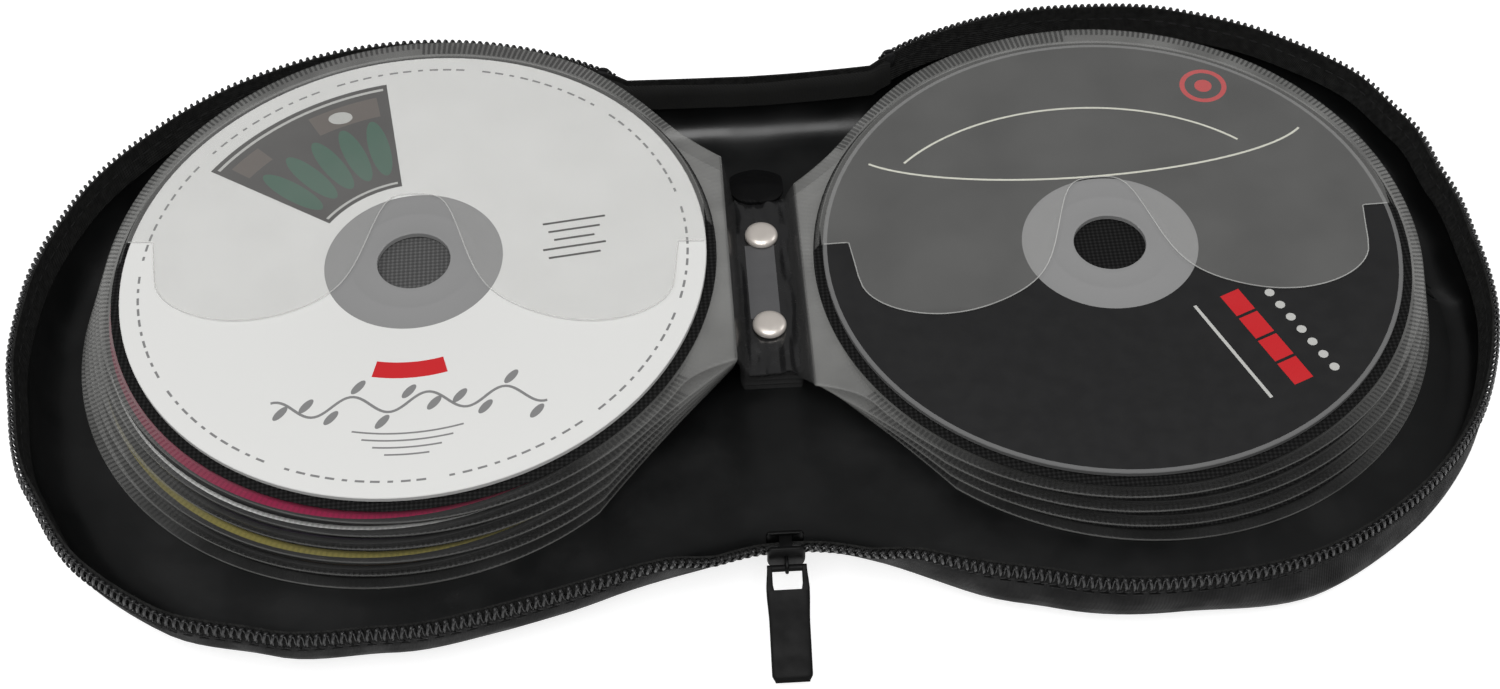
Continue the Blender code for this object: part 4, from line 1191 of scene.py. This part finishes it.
def print_right(matrix):
    """Generic label of the black disc: pale sweeping lines, a red ring, red blocks and light dots."""
    sweep = [(46 * math.cos(t) - 4, 34 * math.sin(t) + 6)
             for t in [math.radians(38 + 104 * step / 60) for step in range(61)]]
    second = [(50 * math.cos(t) - 2, 14 * math.sin(t) + 33)
              for t in [math.radians(196 + 148 * step / 60) for step in range(61)]]
    print_piece("right_disc_lines", "right", matrix, "ink_cream", [
        (line_field([(x, y) for x, y in sweep if math.hypot(x, y) < 57], 0.5), 0),
        (line_field([(x, y) for x, y in second if math.hypot(x, y) < 56], 0.5), 1)])
    turns = circle(40) + [2 * math.pi]
    ring = [(28 + 4.6 * math.cos(t), 44 + 4.6 * math.sin(t)) for t in turns]
    red = [(line_field(ring, 1.1), 0), (blob_field(28, 44, 1.9), 0)]
    for index in range(4):
        red.append((bar_field(23 + 2.6 * index, -19 - 6.2 * index, 6.0, 4.4, -1.17), 0))
    print_piece("right_disc_red", "right", matrix, "ink_red", red)
    light = [(bar_field(19.5, -31.5, 27, 0.7, -1.17), 0)]
    for index in range(7):
        light.append((blob_field(30 + 1.45 * index, -17 - 3.4 * index, 1.0, 16), 0))
    print_piece("right_disc_light", "right", matrix, "ink_light", light)


# Necks of the sleeves and the riveted strip

TAB_X = 6.6 * MM
TAB_HALF_LENGTH = 24 * MM
TAB_BASE = 3.0 * MM
TAB_STEP = 0.5 * MM
TAB_COUNT = 10
TAB_FRONT_Y = 30.5 * MM
TAB_BACK_Y = 44 * MM
NECK_THICKNESS = 0.22 * MM
NECK_END_X = 3.4 * MM
NECK_STEPS = 18
NECK_COLUMNS = 24
STRIP_HALF_WIDTH = 6.0 * MM
STRIP_CENTRE_Y = 8.5 * MM
STRIP_HALF_LENGTH = 24.5 * MM
STRIP_TOP = 8.55 * MM
STRIP_THICKNESS = 0.4 * MM
STRIP_COLUMNS, STRIP_ROWS = 46, 150
FLAT_CENTRE_X = -0.6 * MM
FLAT_HALF_WIDTH = 3.1 * MM
FLAT_HALF_LENGTH = 10.2 * MM
TAB_THICKNESS = 0.3 * MM
FLAP_THICKNESS = 0.5 * MM
FLAP_HALF_WIDTH = 5.7 * MM
RIVET_PLACES = {"front": -4 * MM, "back": 21 * MM}


def build_neck(word, number):
    """Film that leaves a leaf's neck and bends down to the tabs under the rivet strip."""
    side = SIDES[word]
    matrix = leaf_matrix(word, number)
    reach = abs(matrix.translation.x) - NECK_REACH_X
    centre_y = matrix.translation.y
    order = (number - 1) * 2 + (1 if word == "left" else 2)
    tab_z = TAB_BASE + min(order, TAB_COUNT) * TAB_STEP - 0.4 * MM
    front = front_half_width(word, number)
    start = matrix @ Vector((-side * (reach - 0.4 * MM), 0, 0.36 * MM))
    end = Vector((side * NECK_END_X, centre_y, tab_z))
    rows = []
    for step in range(NECK_STEPS + 1):
        share = step / NECK_STEPS
        fall = smooth(share * 1.35)
        x = start.x + (end.x - start.x) * share
        z = start.z + (end.z - start.z) * fall
        row = []
        for across in range(NECK_COLUMNS + 1):
            place = across / NECK_COLUMNS * 2 - 1
            width = NECK_HALF_WIDTH if place > 0 else front
            last = min(width, TAB_HALF_LENGTH)
            half = width - 0.3 * MM + (last - width) * smooth(share * 1.3)
            y = centre_y + (STRIP_CENTRE_Y - centre_y) * share + place * half
            fold = noise.noise(Vector((share * 1.2, y * 190, number * 3.7 + side))) * 0.5 * MM
            row.append(Vector((x + side * fold * math.sin(math.pi * share), y, z)))
        rows.append(row)
    shape = Shape()
    shape.sheet(rows, NECK_THICKNESS)
    made = shape.build(f"{word}_{number}_sleeve_neck", [FINISHES["neck"]], angle=80)
    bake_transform(made)


def strip_height(x, y):
    """Top of the vinyl strip: flat between the rivets, wrinkled at its sides and ends."""
    away = abs(y - STRIP_CENTRE_Y)
    ends = smooth((away - 9 * MM) / (8 * MM))
    edges = smooth((abs(x - FLAT_CENTRE_X) - 3.2 * MM) / (1.8 * MM))
    rough = max(ends, edges)
    crease = noise.noise(Vector((x * 330, y * 80, 4.4))) * 1.05
    crease += noise.noise(Vector((x * 700, y * 170, 1.4))) * 0.4
    near = min(math.hypot(x, y - rivet_y) for rivet_y in RIVET_PLACES.values())
    press = 1 - 0.85 * math.exp(-((near / (4.2 * MM)) ** 2))
    return STRIP_TOP + crease * rough * press * MM - 0.35 * MM * edges


def build_strip():
    """Grey vinyl strip over the tabs, wrinkled at its sides and ends and flat in its middle."""
    rows = []
    for row in range(STRIP_ROWS + 1):
        place = row / STRIP_ROWS * 2 - 1
        y = STRIP_CENTRE_Y + place * STRIP_HALF_LENGTH
        corner = 1 - 0.18 * smooth((abs(place) - 0.9) / 0.1)
        line = []
        for column in range(STRIP_COLUMNS + 1):
            wobble = noise.noise(Vector((y * 160, column, 2.2))) * 0.03
            x = (column / STRIP_COLUMNS * 2 - 1) * STRIP_HALF_WIDTH * (corner + wobble * 0.3)
            line.append(Vector((x, y, strip_height(x, y))))
        rows.append(line)
    shape = Shape()
    shape.sheet(rows, STRIP_THICKNESS)
    strip = shape.build("wrinkled_rivet_strip", [FINISHES["strip"]], angle=60)
    ride(strip, "spine", "strip_vinyl", "rivet_strip")
    flat = []
    for row in range(31):
        y = STRIP_CENTRE_Y + (row / 30 * 2 - 1) * FLAT_HALF_LENGTH
        line = []
        for column in range(9):
            x = FLAT_CENTRE_X + (column / 8 * 2 - 1) * FLAT_HALF_WIDTH
            line.append(Vector((x, y, strip_height(x, y) + 0.06 * MM)))
        flat.append(line)
    shape = Shape()
    shape.sheet(flat, 0.1 * MM)
    made = shape.build("flat_strip_middle", [FINISHES["strip_flat"]], angle=60)
    ride(made, "spine", "strip_vinyl")


def build_tabs():
    """Stack of the sleeves' tabs under the strip, and the folded black tab behind it."""
    tabs = Shape()
    for number in range(TAB_COUNT):
        z = TAB_BASE + number * TAB_STEP
        rows = []
        for row in range(41):
            place = row / 40 * 2 - 1
            half = TAB_X * (1 - 0.12 * smooth((abs(place) - 0.93) / 0.07))
            y = STRIP_CENTRE_Y + place * (24.3 - 0.12 * (number % 3)) * MM
            lift = noise.noise(Vector((y * 120, number * 1.7, 0.4))) * 0.1 * MM
            rows.append([Vector((x * half, y, z + lift + 0.1 * MM)) for x in (-1.0, -0.5, 0.0, 0.5, 1.0)])
        tabs.sheet(rows, TAB_THICKNESS)
    made = tabs.build("stacked_sleeve_tabs", [FINISHES["neck"]], angle=60)
    ride(made, "spine", "clear_film", "sleeve_tabs")
    rows = []
    for row in range(25):
        share = row / 24
        round_end = max(abs(share * 2 - 1) * 1.7 - 0.7, 0.0)
        half = FLAP_HALF_WIDTH * math.sqrt(max(0.0, 1 - (round_end * 0.985) ** 2))
        y = TAB_FRONT_Y + (TAB_BACK_Y - TAB_FRONT_Y) * share
        line = []
        for column in range(13):
            place = column / 12 * 2 - 1
            bulge = 0.7 * (1 - place * place) * math.sin(math.pi * min(1.0, share * 0.7 + 0.25))
            height = 9.1 - 3.6 * smooth((share - 0.35) / 0.65) + bulge
            line.append(Vector((place * half, y, height * MM)))
        rows.append(line)
    flap = Shape()
    flap.sheet(rows, FLAP_THICKNESS)
    made = flap.build("folded_black_tab", [FINISHES["cover"]], angle=60)
    ride(made, "spine", "cover_fabric")


# Radius and height (mm) from the foot of the shank over the head
RIVET_PROFILE = [(1.75, 0.6), (1.75, 8.7), (3.3, 8.75), (3.5, 8.95), (3.5, 9.35), (3.36, 9.72),
                 (3.0, 10.02), (2.4, 10.24), (1.6, 10.36), (0.8, 10.4)]


def build_rivets():
    """Two nickel rivets with low domed heads."""
    for word, y in RIVET_PLACES.items():
        shape = Shape()
        shape.closed([[point + Vector((0, y, 0)) for point in ring_points(radius, height, 48)]
                      for radius, height in RIVET_PROFILE])
        made = shape.build(f"{word}_nickel_rivet", [FINISHES["nickel"]], angle=50)
        ride(made, "spine", "nickel", f"rivet_{word}")


# Slider and pull


def rounded_plate(outline, near, far, bevel):
    """Plate across Y over an outline of (x, z) points, with softened edges."""
    centre_x = sum(x for x, _ in outline) / len(outline)
    centre_z = sum(z for _, z in outline) / len(outline)
    rings = []
    for y, inset in ((near, bevel), (near + bevel * 0.3, bevel * 0.3), (near + bevel, 0.0),
                     (far - bevel, 0.0), (far - bevel * 0.3, bevel * 0.3), (far, bevel)):
        ring = []
        for x, z in outline:
            away = math.hypot(x - centre_x, z - centre_z) or 1.0
            shrink = 1 - inset / away
            ring.append(Vector((centre_x + (x - centre_x) * shrink, y, centre_z + (z - centre_z) * shrink)))
        rings.append(ring)
    shape = Shape()
    shape.closed(rings)
    return shape


SLIDER_MIDDLE_Y = -63.45 * MM
SLIDER_CHANNEL = 2.7 * MM
SLIDER_PLATE = 0.9 * MM
SLIDER_TOP = 17 * MM
SLIDER_CORNER = 1 * MM
SLIDER_BEVEL = 0.35 * MM
SLIDER_POST = [(-1.2, 12.0), (1.2, 12.0), (1.2, 16.4), (-1.2, 16.4)]
BAIL_Z = 13.1 * MM
BAIL_HALF_HEIGHT = 1.25 * MM
BAIL_REACH = 2.6 * MM
BAIL_WIRE_RADIUS = 0.36 * MM


def slider_outline():
    """Shield of the slider, wide at the top and round at its nose."""
    reach = SLIDER_HALF_WIDTH - SLIDER_CORNER
    nose = [math.pi + math.pi * step / 24 for step in range(25)]
    corner = [math.pi / 12 * step for step in range(7)]
    arcs = [(0.0, SLIDER_HALF_WIDTH, nose), (reach, SLIDER_CORNER, corner[1:]),
            (-reach, SLIDER_CORNER, [math.pi / 2 + turn for turn in corner])]
    points = []
    for x, radius, turns in arcs:
        points += [(SLIDER_X + x + radius * math.cos(t), SLIDER_TOP - radius + radius * math.sin(t))
                   for t in turns]
    return points


def build_slider():
    """Slider: two rounded shields with side flanges, joined by a post, with the pull's bail in front."""
    front = SLIDER_MIDDLE_Y - SLIDER_CHANNEL / 2 - SLIDER_PLATE
    behind = front + SLIDER_PLATE + SLIDER_CHANNEL
    outline = slider_outline()
    outer = rounded_plate(outline, front, front + SLIDER_PLATE, SLIDER_BEVEL)
    inner = rounded_plate(outline, behind, behind + SLIDER_PLATE, SLIDER_BEVEL)
    post = rounded_plate([(SLIDER_X + x * MM, z * MM) for x, z in SLIDER_POST],
                         front + 0.4 * MM, behind + 0.4 * MM, 0.2 * MM)
    bail = Shape()
    path = []
    for step in range(25):
        turn = math.pi * step / 24
        y = front + 0.3 * MM - BAIL_REACH * math.sin(turn) ** 0.6
        path.append(Vector((SLIDER_X, y, BAIL_Z - BAIL_HALF_HEIGHT * math.cos(turn))))
    bail.tube(path, BAIL_WIRE_RADIUS, 10, up=Vector((1, 0, 0)))
    metal = [FINISHES["slider"]]
    ride(outer.build("slider_front_shield", metal, angle=35), "spine", "slider_metal", "slider_body")
    ride(inner.build("slider_back_shield", metal, angle=35), "spine", "slider_metal")
    ride(post.build("slider_post", metal, angle=35), "spine", "slider_metal")
    ride(bail.build("slider_bail", metal, angle=60), "spine", "slider_metal")


PULL_AXIS = Vector((SLIDER_X, -67.15 * MM, 13 * MM))
PULL_LENGTH = 22 * MM
PULL_HALF_WIDTH = 4.1 * MM
PULL_HALF_THICKNESS = 0.7 * MM
PULL_SLOT = 3.3 * MM
PULL_ARM = 1.3 * MM
PULL_END_LIFT = 0.4 * MM


def build_pull():
    """Rubber pull: two arms round a slot, a soft-edged tab with a slight hollow and a rounded end."""
    steps = 60
    bar = PULL_HALF_THICKNESS
    total = PULL_LENGTH
    shape = Shape()

    def section(length, left, right):
        """Rounded section from left to right at a length from the top of the arms."""
        ring = []
        crown = 0.16 * MM * math.sin(math.pi * clamp((length - 6 * MM) / (15 * MM)))
        half, middle = (right - left) / 2, (right + left) / 2
        end = smooth((total - length) / (1.1 * MM))
        thick = bar * (0.55 + 0.45 * end)
        for t in circle(28):
            c, s = math.cos(t), math.sin(t)
            x = middle + half * math.copysign(abs(c) ** 0.28, c)
            z = thick * math.copysign(abs(s) ** 0.55, s)
            hollow = crown * (1 - ((x - middle) / half) ** 2) if s > 0 else 0.0
            ring.append(Vector((x, bar - length, z - hollow)))
        return ring

    def waist(length):
        """Half width: full at the arms, a little narrower in the middle, rounded at the end."""
        narrow = 0.25 * MM * smooth((length - 5 * MM) / (6 * MM))
        end = 1.0 * MM * (1 - smooth((total - length) / (1.4 * MM)))
        shoulder = 0.35 * MM * (1 - smooth(length / (5 * MM)))
        return PULL_HALF_WIDTH - narrow - end * 0.6 - shoulder

    slot_end = 2 * bar + PULL_SLOT
    body = []
    for step in range(steps + 1):
        length = slot_end + (total - slot_end) * step / steps
        body.append(section(length, -waist(length), waist(length)))
    shape.closed(body)
    for way in (-1, 1):
        arm = []
        for step in range(17):
            length = 0.4 * MM + (slot_end - 0.2 * MM) * step / 16
            outer = waist(length)
            inset = 0.2 * MM * smooth((length - slot_end + 1.2 * MM) / (1.4 * MM))
            inner = PULL_HALF_WIDTH - PULL_ARM - inset
            left, right = sorted((way * outer, way * inner))
            arm.append(section(length, left, right))
        shape.closed(arm)
    half = PULL_HALF_WIDTH - 0.35 * MM
    shape.tube([Vector(((step / 12 * 2 - 1) * half, 0, 0)) for step in range(13)], bar * 0.95, 14)
    droop = math.asin((PULL_AXIS.z - bar - PULL_END_LIFT) / (total - bar))
    matrix = Matrix.Translation(PULL_AXIS) @ Matrix.Rotation(droop, 4, "X")
    made = shape.build("rubber_pull", [FINISHES["rubber"]], matrix=matrix, angle=50)
    ride(made, "pull", "pull_rubber", "pull_tab")


# Finishes of the frame's own solids that stay
HIDDEN_PARTS = {
    "stiffener_board_left": "board", "stiffener_board_right": "board", "spine_board": "board",
    "rivet_washer_front": "nickel", "rivet_washer_back": "nickel",
}


def dress_hidden_parts():
    """Give the boards and the rivets' washers their finish."""
    for name, finish in HIDDEN_PARTS.items():
        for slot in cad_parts[name].material_slots:
            slot.material = FINISHES[finish]


# Stage, lights and camera

FLOOR_SIZE = 6.0
FLOOR_GREY = 0.45
FLOOR_GLOW = 0.8


def camera_only(tree):
    """Factor node that is 1 for camera, glossy and transmission rays."""
    path = tree.nodes.new("ShaderNodeLightPath")
    factor = path.outputs["Is Camera Ray"]
    for name in ("Is Glossy Ray", "Is Transmission Ray"):
        joined = tree.nodes.new("ShaderNodeMath")
        joined.operation = "MAXIMUM"
        tree.links.new(factor, joined.inputs[0])
        tree.links.new(path.outputs[name], joined.inputs[1])
        factor = joined.outputs[0]
    return factor


def build_floor():
    """Pale floor that keeps the case's soft shadow."""
    shape = Shape()
    half = FLOOR_SIZE / 2
    shape.face([(-half, -half, 0), (half, -half, 0), (half, half, 0), (-half, half, 0)])
    finish = bpy.data.materials.new("floor_white")
    finish.use_nodes = True
    tree = finish.node_tree
    shader = tree.nodes["Principled BSDF"]
    shader.inputs["Base Color"].default_value = (FLOOR_GREY, FLOOR_GREY, FLOOR_GREY, 1)
    shader.inputs["Roughness"].default_value = 0.9
    shader.inputs["Specular IOR Level"].default_value = 0.0
    glow = tree.nodes.new("ShaderNodeEmission")
    glow.inputs["Strength"].default_value = FLOOR_GLOW
    both = tree.nodes.new("ShaderNodeAddShader")
    mix = tree.nodes.new("ShaderNodeMixShader")
    tree.links.new(shader.outputs[0], both.inputs[0])
    tree.links.new(glow.outputs[0], both.inputs[1])
    tree.links.new(camera_only(tree), mix.inputs[0])
    tree.links.new(shader.outputs[0], mix.inputs[1])
    tree.links.new(both.outputs[0], mix.inputs[2])
    tree.links.new(mix.outputs[0], tree.nodes["Material Output"].inputs["Surface"])
    floor = shape.build("floor", [finish])


WORLD_LIGHT = 0.16
# Place, size in metres and power of each softbox; all are aimed at the middle of the case
LIGHTS = {
    "overhead": ((-0.1, -0.45, 1.15), 0.9, 13.0),
    "left_window": ((-1.1, 0.3, 0.8), 0.5, 3.5),
    "right_window": ((1.1, 0.2, 0.8), 0.5, 2.5),
}


def build_lights():
    """Soft studio light: a big softbox overhead, one at each side, and a pale surround."""
    world = bpy.data.worlds.new("surround")
    bpy.context.scene.world = world
    world.use_nodes = True
    tree = world.node_tree
    dim = tree.nodes["Background"]
    dim.inputs["Color"].default_value = (1, 1, 1, 1)
    dim.inputs["Strength"].default_value = WORLD_LIGHT
    white = tree.nodes.new("ShaderNodeBackground")
    white.inputs["Strength"].default_value = 1.0
    mix = tree.nodes.new("ShaderNodeMixShader")
    path = tree.nodes.new("ShaderNodeLightPath")
    tree.links.new(path.outputs["Is Camera Ray"], mix.inputs[0])
    tree.links.new(dim.outputs[0], mix.inputs[1])
    tree.links.new(white.outputs[0], mix.inputs[2])
    tree.links.new(mix.outputs[0], tree.nodes["World Output"].inputs["Surface"])
    for name, (place, size, power) in LIGHTS.items():
        lamp = bpy.data.lights.new(name, "AREA")
        lamp.shape = "SQUARE"
        lamp.size = size
        lamp.energy = power
        made = bpy.data.objects.new(name, lamp)
        made.location = place
        made.rotation_euler = (-Vector(place)).to_track_quat("-Z", "Y").to_euler()
        bpy.context.scene.collection.objects.link(made)


CAMERA_TARGET = Vector((-4.73, -13.9, 15.0)) * MM
CAMERA_ELEVATION = math.radians(50.20)
CAMERA_AZIMUTH = math.radians(-4.09)
CAMERA_ROLL = math.radians(0.40)
CAMERA_DISTANCE = 466.9 * MM
CAMERA_LENS = 55.58
CAMERA_SENSOR = 36.0


def build_camera():
    """Camera at the viewing angle of the photograph."""
    flat = math.cos(CAMERA_ELEVATION)
    away_x, away_y = math.sin(CAMERA_AZIMUTH) * flat, -math.cos(CAMERA_AZIMUTH) * flat
    back = Vector((away_x, away_y, math.sin(CAMERA_ELEVATION)))
    right = Vector((math.cos(CAMERA_AZIMUTH), math.sin(CAMERA_AZIMUTH), 0))
    up = back.cross(right)
    c, s = math.cos(CAMERA_ROLL), math.sin(CAMERA_ROLL)
    right, up = right * c + up * s, up * c - right * s
    lens = bpy.data.cameras.new("camera")
    lens.lens = CAMERA_LENS
    lens.sensor_width = CAMERA_SENSOR
    lens.sensor_fit = "HORIZONTAL"
    lens.clip_start = 0.01
    made = bpy.data.objects.new("camera", lens)
    place = CAMERA_TARGET + back * CAMERA_DISTANCE
    made.matrix_world = Matrix((
        (right.x, up.x, back.x, place.x),
        (right.y, up.y, back.y, place.y),
        (right.z, up.z, back.z, place.z),
        (0, 0, 0, 1),
    ))
    bpy.context.scene.collection.objects.link(made)
    bpy.context.scene.camera = made


def main():
    """Build every piece round the frame."""
    bpy.context.scene.view_settings.view_transform = "Standard"
    build_camera()
    build_floor()
    build_lights()
    for word in SIDES:
        build_fabric(word)
        build_coil(word)
        build_tape(word)
        build_back_wall(word)
        for number in range(1, LEAVES[word] + 1):
            build_sleeve(word, number)
            build_neck(word, number)
            top = build_disc(word, number)
        if word == "left":
            print_left(top)
        else:
            print_right(top)
    build_strip()
    build_tabs()
    build_rivets()
    build_slider()
    build_pull()
    dress_hidden_parts()


main()
